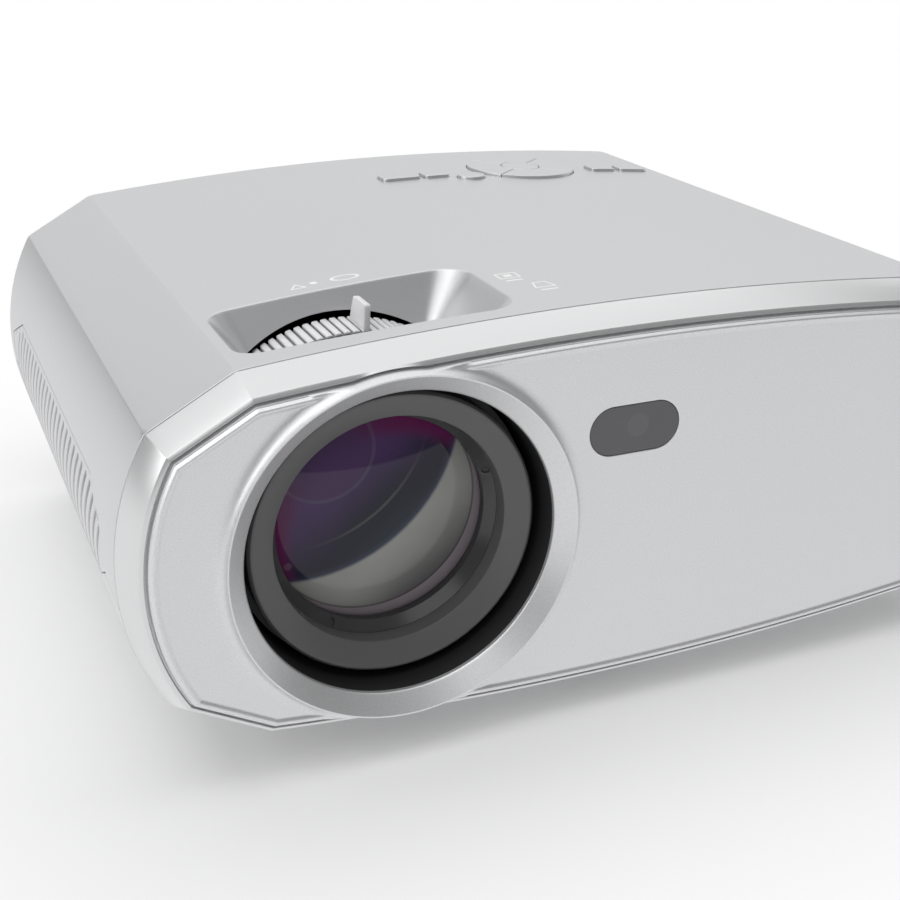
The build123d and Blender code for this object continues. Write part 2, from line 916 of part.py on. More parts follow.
# Posts, ribs and cradles that stand on the bottom cover
with BuildPart() as bottom_posts:
    for spot in screw_spots:
        peg(level(split_height), spot, screw_post_radius, -body_height)
    for spot in optics_posts:
        peg(level(-optics_half_height), spot, screw_post_radius, -body_height)
    for spot in power_posts:
        peg(level(power_board_height), spot, post_radius, -body_height)
    for spot in bracket_spots:
        peg(level(insert_seat + insert_length + insert_cap), spot, insert_radius + wall, -body_height)
    peg(level(foot_nut_top), foot_spot, foot_nut_radius, -body_height)
    for side, depth in ((1, exhaust_depth), (-1, intake_depth)):
        for rib in (depth - fan_size / 3, depth + fan_size / 3):
            block(fan_span(side), (rib, rib + wall), (-body_height, -fan_size / 2))
    for side in (-1, 1):
        cradle = sorted((side * speaker_x, side * (speaker_x + speaker_thickness)))
        block(cradle, (speaker_depth, speaker_depth + wall), (-body_height, -speaker_radius))
    block(
        (sink_x, sink_x + sink_base),
        (exhaust_depth, exhaust_depth + wall),
        (-body_height, -sink_half_height),
    )
    block(
        (inlet_x - wall, inlet_x + wall),
        (panel_inner - inlet_length / 2, panel_inner - overshoot),
        (-body_height, inlet_height - inlet_tall / 2),
    )
    for x in (main_left + main_rib_inset, main_right - main_rib_inset):
        block(
            (x, x + wall),
            (main_board_depth - main_rib_reach, main_board_depth),
            (-body_height, main_rib_rise - optics_half_height),
        )
        block(
            (x, x + wall),
            (main_board_depth, main_board_depth + main_rib_reach),
            (-body_height, -optics_half_height),
        )
    body_fill(wall / 2, mode=Mode.INTERSECT)

with BuildPart() as bottom_cover:
    add(cover_tube.part)
    split(bisect_by=level(split_height), keep=Keep.BOTTOM)
    add(bottom_posts.part)
    # Screw holes up the posts, with the heads sunk in the corner chamfers
    for spot in screw_spots:
        peg(level(split_height), spot, screw_radius + screw_clearance, -body_height, mode=Mode.SUBTRACT)
        peg(level(screw_seat), spot, screw_head_radius + screw_head_gap, -body_height, mode=Mode.SUBTRACT)
    # Posts that hold the rear feet
    for spot in rear_foot_spots:
        peg(level(rear_pocket_height), spot, rear_post_radius, rear_post_height)
        peg(
            level(rear_pocket_height),
            spot,
            rear_foot_radius + rear_foot_gap,
            rear_foot_pocket,
            mode=Mode.SUBTRACT,
        )
    # Hole for the front foot, and pockets for the bracket inserts
    peg(level(0), foot_spot, foot_screw_radius + foot_screw_clearance, -body_height, mode=Mode.SUBTRACT)
    for spot in bracket_spots:
        peg(level(insert_seat), spot, insert_radius, insert_length, mode=Mode.SUBTRACT)
        peg(level(insert_seat), spot, insert_radius + wall / 2, -half_height, mode=Mode.SUBTRACT)
bottom_cover.part.label = "bottom_cover"

# Bezel: a sloped band, a rolled lip and a flange that the front panel sits on
bezel_back_depth = panel_seat_depth - bezel_flange_thickness
with BuildPart() as front_bezel:
    loft([body_section(0), body_section(-band_depth, band_inset)], ruled=True)
    loft(
        [body_section(-band_depth, band_inset), body_section(-band_depth - lip_depth, lip_total)],
        ruled=True,
    )
    loft(
        [body_section(0, wall), body_section(-bezel_back_depth, band_inset + bezel_web)],
        ruled=True,
        mode=Mode.SUBTRACT,
    )
    panel_fill(
        -panel_seat_depth,
        lip_total,
        surround_foot_radius + panel_gap,
        panel_thickness,
        mode=Mode.SUBTRACT,
    )
    panel_fill(0, lip_total + bezel_flange, shroud_flange_radius + panel_gap, lens_reach, mode=Mode.SUBTRACT)
front_bezel.part.label = "front_bezel"

# Raised surround of the lens: a hollow foot, a crest and a funnel down to the throat
with BuildPart() as surround_room:
    panel_fill(-panel_seat_depth, panel_inset, surround_foot_radius, 2 * lens_reach)

with BuildPart() as lens_surround:
    with BuildSketch(lens_plane) as surround_face:
        with BuildLine():
            Polyline(
                (surround_fillet_radius, face_depth),
                (surround_fillet_radius, -panel_seat_depth),
                (throat_radius, -panel_seat_depth),
                (throat_radius, throat_depth),
                (crest_radius - crest_width, -lens_reach),
                (crest_radius, -lens_reach),
            )
            TangentArc(
                (surround_fillet_radius, face_depth),
                (crest_radius, -lens_reach),
                tangent=(-1, 0),
            )
        make_face()
    revolve(surround_face.sketch, axis=lens_axis)
    add(surround_room.part, mode=Mode.INTERSECT)

# Front panel: a bevelled plate with a sunk face, the window opening and the lens surround
with BuildPart() as panel_face:
    extrude(body_section(face_depth, panel_inset + panel_border), amount=lens_reach)
    peg(across(face_depth), (lens_x, 0), surround_fillet_radius, lens_reach, mode=Mode.SUBTRACT)

with BuildPart() as front_panel:
    extrude(body_section(-panel_seat_depth, panel_inset), amount=panel_thickness - panel_bevel)
    loft(
        [
            body_section(panel_bevel - panel_seat_depth - panel_thickness, panel_inset),
            body_section(-panel_seat_depth - panel_thickness, panel_inset + panel_bevel),
        ],
        ruled=True,
    )
    peg(across(-panel_seat_depth), (lens_x, 0), surround_foot_radius, panel_thickness)
    add(panel_face.part, mode=Mode.SUBTRACT)
    extrude(window_outline(-panel_seat_depth, -window_ledge), amount=panel_thickness, mode=Mode.SUBTRACT)
    extrude(
        window_outline(face_depth + window_thickness, window_gap),
        amount=panel_thickness,
        mode=Mode.SUBTRACT,
    )
    add(lens_surround.part)
    peg(across(0), (lens_x, 0), throat_radius, 2 * lens_reach, mode=Mode.SUBTRACT)
front_panel.part.label = "front_panel"

with BuildPart() as sensor_window:
    extrude(window_outline(face_depth + window_thickness, 0), amount=window_thickness)
sensor_window.part.label = "sensor_window"

# Receiver behind the window: a small board with a raised eye
receiver_half_length = window_length / 2 + receiver_margin
receiver_half_height = window_height / 2 + receiver_margin
with BuildPart() as ir_receiver:
    block(
        (window_x - receiver_half_length, window_x + receiver_half_length),
        (-panel_seat_depth, -panel_seat_depth + board_thickness),
        (window_z - receiver_half_height, window_z + receiver_half_height),
    )
    peg(across(-panel_seat_depth), (window_x, window_z), eye_radius, eye_length)
ir_receiver.part.label = "ir_receiver"

# Black tube behind the lens surround
with BuildPart() as lens_shroud:
    turned([
        (throat_radius, -panel_seat_depth),
        (shroud_flange_radius, -panel_seat_depth),
        (shroud_flange_radius, -panel_seat_depth + shroud_wall),
        (throat_radius + shroud_wall, -panel_seat_depth + shroud_wall),
        (throat_radius + shroud_wall, shroud_rear),
        (throat_radius, shroud_rear),
    ])
lens_shroud.part.label = "lens_shroud"

# Side grilles: a curved plate in the side of the covers, with leaning slots
with BuildPart() as grille_slots:
    with BuildSketch(side_view(0)) as slot_row:
        with Locations([(slot_first + slot_pitch * slot, 0) for slot in range(slot_count)]):
            SlotOverall(slot_run, slot_width, rotation=slot_lean - 90)
    extrude(slot_row.sketch, amount=body_width, both=True)
    extrude(grille_outline(grille_border), amount=body_width, both=True, mode=Mode.INTERSECT)

with BuildPart() as left_grille:
    grille_plate(-1)
    add(grille_slots.part, mode=Mode.SUBTRACT)
left_grille.part.label = "left_grille"

with BuildPart() as right_grille:
    grille_plate(1)
    add(grille_slots.part, mode=Mode.SUBTRACT)
right_grille.part.label = "right_grille"

# Rear panel with the socket openings and a field of vents
with BuildPart() as rear_panel:
    extrude(body_section(panel_inner, wall + seam), amount=rear_panel_thickness, dir=rearward)
    with BuildSketch(across(panel_inner)) as rear_cuts:
        with Locations(hdmi_spots):
            Rectangle(hdmi_width + 2 * socket_gap, hdmi_tall + 2 * socket_gap)
        with Locations(usb_spots):
            Rectangle(usb_width + 2 * socket_gap, usb_tall + 2 * socket_gap)
        with Locations((jack_x, socket_row)):
            Circle(jack_radius + socket_gap)
        with Locations((inlet_x, inlet_height)):
            Rectangle(inlet_wide + 2 * socket_gap, inlet_tall + 2 * socket_gap)
        with Locations([(vent_first + vent_pitch * vent, 0) for vent in range(vent_count)]):
            SlotOverall(vent_tall, vent_width, rotation=90)
    extrude(rear_cuts.sketch, amount=-rear_panel_thickness, mode=Mode.SUBTRACT)
rear_panel.part.label = "rear_panel"

# Corner screws with a cross recess
with BuildPart() as housing_screws:
    for spot in screw_spots:
        peg(level(screw_seat), spot, screw_radius, split_height + screw_grip - screw_seat)
        peg(level(screw_seat), spot, screw_head_radius, -screw_head_height)
        with Locations(level(screw_seat - screw_head_height)):
            with Locations(spot):
                Box(screw_slot, 3 * screw_slot, 2 * screw_slot, mode=Mode.SUBTRACT)
                Box(3 * screw_slot, screw_slot, 2 * screw_slot, mode=Mode.SUBTRACT)
housing_screws.part.label = "housing_screws"

# Lens holder: the tube that the barrel slides in, with the ring's collar, the pins' slots and a square flange
holder_bore = barrel_radius + slide_clearance
holder_radius = holder_bore + holder_wall
collar_front = ring_rear + ring_clearance
slot_from = pin_depth - pin_forward_travel - pin_radius - slide_clearance
slot_to = pin_depth + pin_rear_travel + pin_radius + slide_clearance
with BuildPart() as lens_holder:
    flange_front = optics_front - holder_flange_thickness
    block(
        (lens_x - holder_flange_half, lens_x + holder_flange_half),
        (flange_front, optics_front),
        (-optics_half_height, optics_half_height),
    )
    peg(
        across(optics_front),
        (lens_x, 0),
        optics_aperture_radius,
        holder_flange_thickness,
        mode=Mode.SUBTRACT,
    )
    turned([
        (holder_bore, holder_front),
        (holder_radius, holder_front),
        (holder_radius, collar_front),
        (holder_radius + collar_height, collar_front),
        (holder_radius + collar_height, collar_front + collar_thickness),
        (holder_radius, collar_front + collar_thickness),
        (holder_radius, optics_front),
        (holder_bore, optics_front),
    ])
    for angle in pin_angles:
        with BuildSketch(radial(angle, holder_bore - overshoot)) as pin_slot:
            with Locations(((slot_from + slot_to) / 2, 0)):
                SlotOverall(slot_to - slot_from, 2 * (pin_radius + slide_clearance))
        extrude(amount=holder_wall + 2 * overshoot, mode=Mode.SUBTRACT)
lens_holder.part.label = "lens_holder"

with BuildPart() as ring_retainer:
    retainer_rear = ring_front - ring_clearance
    sleeve(
        holder_radius,
        holder_radius + retainer_height,
        (retainer_rear - retainer_thickness, retainer_rear),
    )
ring_retainer.part.label = "ring_retainer"

# Focus ring: fine ribs outside, a relief inside for the pins, and a tab to push it round by
tab_out = (sin(radians(tab_angle)), 0, cos(radians(tab_angle)))
tab_side = (-cos(radians(tab_angle)), 0, sin(radians(tab_angle)))
with BuildPart() as focus_ring:
    with BuildSketch(across(ring_rear)) as ribbed:
        with Locations((lens_x, 0)):
            Circle(ring_radius)
            with PolarLocations(ring_radius, rib_count):
                Rectangle(
                    2 * rib_height,
                    (1 - rib_share) * 2 * ring_radius * pi / rib_count,
                    mode=Mode.SUBTRACT,
                )
    extrude(amount=ring_rear - ring_front)
    with BuildSketch(Plane(origin=(lens_x, parting_y, mid_z), x_dir=tab_out, z_dir=tab_side)) as tab_face:
        with BuildLine():
            Polyline(
                (ring_radius - 2 * rib_height, ring_front),
                (ring_radius, ring_front),
                (tab_top_radius, tab_corners[0]),
                (tab_top_radius, tab_corners[1]),
                (ring_radius, tab_corners[2]),
                (ring_radius - 2 * rib_height, tab_corners[2]),
                close=True,
            )
        make_face()
    extrude(amount=tab_thickness / 2, both=True)
    top_edges = focus_ring.edges().filter_by(GeomType.LINE).filter_by(Axis.Y).sort_by(Axis.Z)[-2:]
    fillet(top_edges, tab_rounding)
    bore = holder_radius + slide_clearance
    relief = (ring_front + ring_relief_wall, ring_rear - ring_relief_wall)
    turned(
        [
            (0, ring_front - overshoot),
            (bore, ring_front - overshoot),
            (bore, relief[0]),
            (ring_relief_radius, relief[0]),
            (ring_relief_radius, relief[1]),
            (bore, relief[1]),
            (bore, ring_rear + overshoot),
            (0, ring_rear + overshoot),
        ],
        mode=Mode.SUBTRACT,
    )
focus_ring.part.label = "focus_ring"

# Lens barrel: a coned front face, seats for the glass and holes for the pins
with BuildPart() as lens_barrel:
    turned([
        (barrel_mouth_radius, barrel_mouth_depth),
        (barrel_radius - barrel_rim, barrel_front),
        (barrel_radius - barrel_bevel, barrel_front),
        (barrel_radius, barrel_front + barrel_bevel),
        (barrel_radius, barrel_rear),
        (rear_bore_radius, barrel_rear),
        (rear_bore_radius, stop_span[1]),
        (stop_radius, stop_span[1]),
        (stop_radius, stop_span[0]),
        (front_seat_radius, stop_span[0]),
        (front_seat_radius, front_seat_depth),
        (barrel_mouth_radius, front_seat_depth),
    ])
    for angle in pin_angles:
        with Locations(radial(angle, pin_bottom_radius)):
            with Locations((pin_depth, 0)):
                Cylinder(
                    pin_radius,
                    barrel_radius,
                    align=(Align.CENTER, Align.CENTER, Align.MIN),
                    mode=Mode.SUBTRACT,
                )
lens_barrel.part.label = "lens_barrel"

with BuildPart() as drive_pins:
    for angle in pin_angles:
        peg(radial(angle, pin_bottom_radius), (pin_depth, 0), pin_radius, pin_top_radius - pin_bottom_radius)
drive_pins.part.label = "drive_pins"

# Ring that holds the front lens, with two notches for a spanner
with BuildPart() as lens_retaining_ring:
    turned([
        (front_ring_radii[1], front_ring_span[0]),
        (barrel_mouth_radius, front_ring_span[0]),
        (barrel_mouth_radius, front_ring_span[1] + overshoot),
        (front_ring_radii[0], front_ring_span[1]),
    ])
    for angle in notch_angles:
        spot = (
            lens_x + barrel_mouth_radius * cos(radians(angle)),
            barrel_mouth_radius * sin(radians(angle)),
        )
        peg(across(front_ring_span[0]), spot, notch_radius, -notch_depth, mode=Mode.SUBTRACT)
lens_retaining_ring.part.label = "lens_retaining_ring"

with BuildPart() as front_lens:
    front_bow = sag(front_lens_curves[0], front_lens_radius)
    lens_element(front_lens_radius, front_lens_edge, front_bow, sag(front_lens_curves[1], front_lens_radius))
front_lens.part.label = "front_lens"

with BuildPart() as middle_lens:
    middle_bow = sag(middle_lens_curve, rear_bore_radius)
    lens_element(rear_bore_radius - glass_clearance, middle_lens_edge, -middle_bow, -middle_bow)
middle_lens.part.label = "middle_lens"

with BuildPart() as lens_spacer:
    sleeve(spacer_bore_radius, rear_bore_radius - glass_clearance, spacer_span)
lens_spacer.part.label = "lens_spacer"

with BuildPart() as rear_lens:
    rear_bow = sag(rear_lens_curve, rear_bore_radius)
    lens_element(rear_bore_radius - glass_clearance, rear_lens_edge, rear_bow, rear_bow)
rear_lens.part.label = "rear_lens"

with BuildPart() as rear_retaining_ring:
    sleeve(spacer_bore_radius, rear_bore_radius, rear_ring_span)
rear_retaining_ring.part.label = "rear_retaining_ring"

# Optics box and its lid
with BuildPart() as optics_housing:
    extrude(optics_plan(-optics_half_height, 0), amount=2 * optics_half_height)
    extrude(
        optics_plan(optics_wall - optics_half_height, optics_wall),
        amount=2 * optics_half_height,
        mode=Mode.SUBTRACT,
    )
    peg(
        across(optics_front),
        (lens_x, 0),
        optics_aperture_radius,
        -2 * optics_wall,
        mode=Mode.SUBTRACT,
    )
    block(
        (bay_right - 2 * optics_wall, bay_right + overshoot),
        (bay_front + 2 * optics_wall, bay_rear - 2 * optics_wall),
        (2 * optics_wall - optics_half_height, optics_half_height - 2 * optics_wall),
        mode=Mode.SUBTRACT,
    )
optics_housing.part.label = "optics_housing"

with BuildPart() as optics_lid:
    extrude(optics_plan(optics_half_height, 0), amount=lid_thickness)
optics_lid.part.label = "optics_lid"

with BuildPart() as fold_mirror:
    with Locations(Location((lens_x, at(mirror_depth), mid_z), (0, 0, 45))):
        Box(
            2 * mirror_half_run * sqrt(2),
            mirror_thickness,
            2 * screen_half_height,
            align=(Align.CENTER, Align.MIN, Align.CENTER),
        )
fold_mirror.part.label = "fold_mirror"

with BuildPart() as front_fresnel:
    screen(front_fresnel_span)
front_fresnel.part.label = "front_fresnel"

with BuildPart() as lcd_panel:
    screen(lcd_span)
lcd_panel.part.label = "lcd_panel"

with BuildPart() as rear_fresnel:
    screen(rear_fresnel_span)
rear_fresnel.part.label = "rear_fresnel"

# Cone that gathers the light of the LED, hollow and open at both ends
cone_end_x = bay_right + cone_length
with BuildPart() as light_cone:
    loft([
        light_section(bay_right, bay_half_depth, optics_half_height),
        light_section(cone_end_x, cone_end_half, cone_end_half),
    ])
    loft(
        [
            light_section(bay_right, bay_half_depth - cone_wall, optics_half_height - cone_wall),
            light_section(cone_end_x, cone_end_half - cone_wall, cone_end_half - cone_wall),
        ],
        mode=Mode.SUBTRACT,
    )
light_cone.part.label = "light_cone"

with BuildPart() as condenser_lens:
    light_axis = Axis((0, at(mirror_depth), mid_z), rightward)
    with BuildSketch(across(mirror_depth)) as half_condenser:
        with BuildLine():
            condenser_rear = bay_right + condenser_share * cone_length
            condenser_front = condenser_rear - condenser_edge
            Line((condenser_rear, 0), (condenser_rear, condenser_radius))
            Line((condenser_rear, condenser_radius), (condenser_front, condenser_radius))
            condenser_bow = sag(condenser_curve, condenser_radius)
            middle_bow = condenser_bow - sag(condenser_curve, condenser_radius / 2)
            ThreePointArc(
                (condenser_front, condenser_radius),
                (condenser_front - middle_bow, condenser_radius / 2),
                (condenser_front - condenser_bow, 0),
            )
            Line((condenser_front - condenser_bow, 0), (condenser_rear, 0))
        make_face()
    revolve(half_condenser.sketch, axis=light_axis)
condenser_lens.part.label = "condenser_lens"

with BuildPart() as led_module:
    base_depths = (mirror_depth - led_base_half, mirror_depth + led_base_half)
    chip_depths = (mirror_depth - led_chip_half, mirror_depth + led_chip_half)
    block((cone_end_x, cone_end_x + led_base_thickness), base_depths, (-led_base_half, led_base_half))
    block((cone_end_x - led_chip_thickness, cone_end_x), chip_depths, (-led_chip_half, led_chip_half))
led_module.part.label = "led_module"

with BuildPart() as led_heatsink:
    sink_front = mirror_depth - sink_half_depth
    sink_heights = (-sink_half_height, sink_half_height)
    fin_pitch = (2 * sink_half_depth - sink_fin_thickness) / (sink_fin_count - 1)
    block((sink_x, sink_x + sink_base), (sink_front, mirror_depth + sink_half_depth), sink_heights)
    for fin in range(sink_fin_count):
        fin_depth = sink_front + fin * fin_pitch
        fin_x = (sink_x + sink_base, sink_x + sink_base + sink_fin_length)
        block(fin_x, (fin_depth, fin_depth + sink_fin_thickness), sink_heights)
led_heatsink.part.label = "led_heatsink"

# Fans
with BuildPart() as exhaust_fan_frame:
    fan_frame(1, exhaust_depth)
exhaust_fan_frame.part.label = "exhaust_fan_frame"

with BuildPart() as exhaust_fan_rotor:
    fan_rotor(1, exhaust_depth)
exhaust_fan_rotor.part.label = "exhaust_fan_rotor"

with BuildPart() as intake_fan_frame:
    fan_frame(-1, intake_depth)
intake_fan_frame.part.label = "intake_fan_frame"

with BuildPart() as intake_fan_rotor:
    fan_rotor(-1, intake_depth)
intake_fan_rotor.part.label = "intake_fan_rotor"

# Speakers, one behind the front of each grille: rim, cone and magnet
with BuildPart() as speakers:
    for side in (-1, 1):
        outer = side * (speaker_x + speaker_thickness)
        spot = (speaker_depth, 0)
        peg(side_view(outer), spot, speaker_radius, -side * speaker_rim)
        peg(side_view(outer), spot, speaker_magnet_radius, -side * speaker_thickness)
        peg(side_view(outer), spot, speaker_dish_radius, -side * speaker_dish, mode=Mode.SUBTRACT)
speakers.part.label = "speakers"

# Main board with its sockets
with BuildPart() as main_board:
    block((main_left, main_right), (main_board_depth, socket_front), (-optics_half_height, main_board_top))
main_board.part.label = "main_board"

with BuildPart() as hdmi_sockets:
    for spot in hdmi_spots:
        socket(spot, hdmi_width, hdmi_tall)
hdmi_sockets.part.label = "hdmi_sockets"

with BuildPart() as usb_sockets:
    for spot in usb_spots:
        socket(spot, usb_width, usb_tall)
usb_sockets.part.label = "usb_sockets"

with BuildPart() as audio_jack:
    half_jack = jack_body / 2
    block(
        (jack_x - half_jack, jack_x + half_jack),
        (socket_front, panel_inner - seam),
        (socket_row - half_jack, socket_row + half_jack),
    )
    peg(across(panel_rear), (jack_x, socket_row), jack_radius, rear_panel_thickness + overshoot)
    peg(across(panel_rear), (jack_x, socket_row), jack_bore_radius, jack_cavity_depth, mode=Mode.SUBTRACT)
audio_jack.part.label = "audio_jack"

# Power inlet with two pins in a stadium
with BuildPart() as power_inlet:
    block(
        (inlet_x - inlet_wide / 2, inlet_x + inlet_wide / 2),
        (panel_rear - inlet_length, panel_rear),
        (inlet_height - inlet_tall / 2, inlet_height + inlet_tall / 2),
    )
    with BuildSketch(across(panel_rear)) as inlet_mouth:
        with Locations((inlet_x, inlet_height)):
            SlotOverall(inlet_cavity_wide, inlet_cavity_tall)
    extrude(amount=inlet_cavity_depth, mode=Mode.SUBTRACT)
    for side in (-1, 1):
        pin_spot = (inlet_x + side * inlet_pin_pitch / 2, inlet_height)
        peg(across(panel_rear - inlet_cavity_depth), pin_spot, inlet_pin_radius, -inlet_pin_length)
power_inlet.part.label = "power_inlet"

with BuildPart() as power_board:
    block((power_left, power_right), power_board_depths, (power_board_height, power_board_top))
power_board.part.label = "power_board"

# Transformer, coil, two capacitors and a heat plate on the power board
with BuildPart() as power_parts:
    block(
        (power_left + transformer_insets[0], power_right - transformer_insets[1]),
        transformer_depths,
        (power_board_top, power_board_top + transformer_height),
    )
    block(
        (power_right - heat_plate_inset - heat_plate_thickness, power_right - heat_plate_inset),
        heat_plate_depths,
        (power_board_top, power_board_top + heat_plate_height),
    )
    for depth in capacitor_depths:
        peg(level(power_board_top), (power_left + capacitor_inset, depth), capacitor_radius, capacitor_height)
    peg(level(power_board_top), (power_left + coil_inset, coil_depth), coil_radius, coil_height)
power_parts.part.label = "power_parts"

# Key board with a switch under each key
with BuildPart() as key_board:
    block(key_board_span, key_board_depths, (key_board_height, board_top))
    for spot in key_spots:
        with Locations(level(board_top)):
            with Locations(spot):
                Box(switch_size, switch_size, switch_height, align=(Align.CENTER, Align.CENTER, Align.MIN))
        peg(level(board_top + switch_height), spot, switch_button_radius, switch_button)
key_board.part.label = "key_board"

# Keys
with BuildPart() as menu_key:
    add(key_cap(bar_outline(menu_place, 0), 0))
    add(key_rim(bar_outline(menu_place, key_flange), 0))
    key_stem(*menu_place[:2])
menu_key.part.label = "menu_key"

with BuildPart() as source_key:
    add(key_cap(bar_outline(source_place, 0), 0))
    add(key_rim(bar_outline(source_place, key_flange), 0))
    key_stem(*source_place[:2])
source_key.part.label = "source_key"

with BuildPart() as volume_down_key:
    add(key_cap(bar_outline(volume_down_place, 0), 0))
    add(key_rim(bar_outline(volume_down_place, key_flange), 0))
    key_stem(*volume_down_place[:2])
volume_down_key.part.label = "volume_down_key"

with BuildPart() as volume_up_key:
    add(key_cap(bar_outline(volume_up_place, 0), 0))
    add(key_rim(bar_outline(volume_up_place, key_flange), 0))
    key_stem(*volume_up_place[:2])
volume_up_key.part.label = "volume_up_key"

with BuildPart() as power_key:
    power_spot = (power_key_x, power_key_depth)
    add(key_cap(disc(level(0), power_spot, power_key_radius), 0))
    add(key_rim(disc(level(0), power_spot, power_key_radius + key_flange), 0))
    key_stem(*power_spot)
power_key.part.label = "power_key"

with BuildPart() as ok_key:
    add(key_cap(disc(level(0), (pad_x, pad_depth), ok_radius), ok_drop))
    add(key_rim(disc(level(0), (pad_x, pad_depth), ok_flange_radius), ok_drop))
    key_stem(pad_x, pad_depth, ok_drop)
ok_key.part.label = "ok_key"

with BuildPart() as right_key:
    add(key_cap(quarter_outline(pad_angles["right"], 0), 0))
    add(key_rim(quarter_outline(pad_angles["right"], key_flange), 0))
    key_stem(pad_x + pad_key_middle, pad_depth)
right_key.part.label = "right_key"

with BuildPart() as up_key:
    add(key_cap(quarter_outline(pad_angles["up"], 0), 0))
    add(key_rim(quarter_outline(pad_angles["up"], key_flange), 0))
    key_stem(pad_x, pad_depth + pad_key_middle)
up_key.part.label = "up_key"

with BuildPart() as left_key:
    add(key_cap(quarter_outline(pad_angles["left"], 0), 0))
    add(key_rim(quarter_outline(pad_angles["left"], key_flange), 0))
    key_stem(pad_x - pad_key_middle, pad_depth)
left_key.part.label = "left_key"

with BuildPart() as down_key:
    add(key_cap(quarter_outline(pad_angles["down"], 0), 0))
    add(key_rim(quarter_outline(pad_angles["down"], key_flange), 0))
    key_stem(pad_x, pad_depth - pad_key_middle)
down_key.part.label = "down_key"

# Rear feet, and the front foot that screws down
with BuildPart() as rear_feet:
    for spot in rear_foot_spots:
        peg(level(-mid_z), spot, rear_foot_radius, rear_foot_height)
rear_feet.part.label = "rear_feet"

groove = (foot_ring_base - foot_screw_clearance, foot_ring_base + foot_ring_thickness + foot_screw_clearance)
with BuildPart() as foot_screw:
    peg(
        level(foot_pad_height - mid_z),
        foot_spot,
        foot_disc_radius,
        foot_height - foot_disc_gap - foot_pad_height,
    )
    with Locations(level(foot_pad_height - mid_z)):
        with Locations(foot_spot):
            with PolarLocations(foot_disc_radius, knurl_count):
                Cylinder(
                    knurl_radius,
                    foot_height,
                    align=(Align.CENTER, Align.CENTER, Align.MIN),
                    mode=Mode.SUBTRACT,
                )
    peg(level(foot_pad_height - mid_z), foot_spot, foot_screw_radius, groove[0] - foot_pad_height)
    peg(level(groove[0] - mid_z), foot_spot, foot_groove_radius, groove[1] - groove[0])
    peg(level(groove[1] - mid_z), foot_spot, foot_screw_radius, foot_screw_top - groove[1])
foot_screw.part.label = "foot_screw"

with BuildPart() as foot_pad:
    peg(level(-mid_z), foot_spot, foot_pad_radius, foot_pad_height)
foot_pad.part.label = "foot_pad"

# Ring on the foot's shaft that stops it at the end of its thread
with BuildPart() as foot_stop_ring:
    peg(level(foot_ring_base - mid_z), foot_spot, foot_ring_radius, foot_ring_thickness)
    peg(
        level(foot_ring_base - mid_z),
        foot_spot,
        foot_groove_radius + foot_screw_clearance,
        foot_ring_thickness,
        mode=Mode.SUBTRACT,
    )
foot_stop_ring.part.label = "foot_stop_ring"

# Threaded inserts for a ceiling bracket
with BuildPart() as bracket_inserts:
    for spot in bracket_spots:
        peg(level(insert_seat), spot, insert_radius, insert_length)
        peg(level(insert_seat), spot, insert_bore_radius, insert_length, mode=Mode.SUBTRACT)
bracket_inserts.part.label = "bracket_inserts"

pieces = [
    top_cover,
    bottom_cover,
    front_bezel,
    front_panel,
    lens_shroud,
    sensor_window,
    ir_receiver,
    left_grille,
    right_grille,
    rear_panel,
    housing_screws,
    lens_holder,
    ring_retainer,
    focus_ring,
    lens_barrel,
    drive_pins,
    lens_retaining_ring,
    front_lens,
    middle_lens,
    lens_spacer,
    rear_lens,
    rear_retaining_ring,
    optics_housing,
    optics_lid,
    fold_mirror,
    front_fresnel,
    lcd_panel,
    rear_fresnel,
    light_cone,
    condenser_lens,
    led_module,
    led_heatsink,
    exhaust_fan_frame,
    exhaust_fan_rotor,
    intake_fan_frame,
    intake_fan_rotor,
    speakers,
    main_board,
    hdmi_sockets,
    usb_sockets,
    audio_jack,
    power_inlet,
    power_board,
    power_parts,
    key_board,
    menu_key,
    source_key,
    volume_down_key,
    volume_up_key,
    power_key,
    ok_key,
    right_key,
    up_key,
    left_key,
    down_key,
    rear_feet,
    foot_screw,
    foot_pad,
    foot_stop_ring,
    bracket_inserts,
]
os.makedirs("parts", exist_ok=True)
for piece in pieces:
    export_step(piece.part, f"parts/{piece.part.label}.step")
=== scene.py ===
"""A home projector: moulded covers, coated lens, focus ring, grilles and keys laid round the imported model."""

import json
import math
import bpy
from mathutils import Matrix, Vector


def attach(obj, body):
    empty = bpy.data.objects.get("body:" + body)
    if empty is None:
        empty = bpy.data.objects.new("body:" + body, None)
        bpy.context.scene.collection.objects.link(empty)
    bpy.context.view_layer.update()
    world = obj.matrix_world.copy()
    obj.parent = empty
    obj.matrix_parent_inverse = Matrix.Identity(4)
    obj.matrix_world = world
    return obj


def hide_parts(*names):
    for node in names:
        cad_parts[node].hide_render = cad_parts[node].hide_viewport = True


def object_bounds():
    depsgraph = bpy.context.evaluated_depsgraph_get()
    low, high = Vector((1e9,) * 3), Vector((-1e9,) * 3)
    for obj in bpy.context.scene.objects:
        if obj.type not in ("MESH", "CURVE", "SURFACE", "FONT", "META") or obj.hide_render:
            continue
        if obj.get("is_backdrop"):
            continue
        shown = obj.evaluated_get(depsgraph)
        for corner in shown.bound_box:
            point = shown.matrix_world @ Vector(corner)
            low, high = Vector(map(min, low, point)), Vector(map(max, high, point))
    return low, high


bl_info = {
    "name": "Home Projector",
    "version": (1, 0, 0),
    "blender": (4, 5, 0),
    "location": "3D View > Sidebar > Projector",
    "description": "Builds the projector's outer pieces, finishes and studio",
    "category": "Object",
}

import bmesh
import bpy
import numpy as np
from bpy.props import FloatProperty, FloatVectorProperty, IntProperty, PointerProperty
from mathutils import Matrix, Vector
from mathutils.geometry import delaunay_2d_cdt

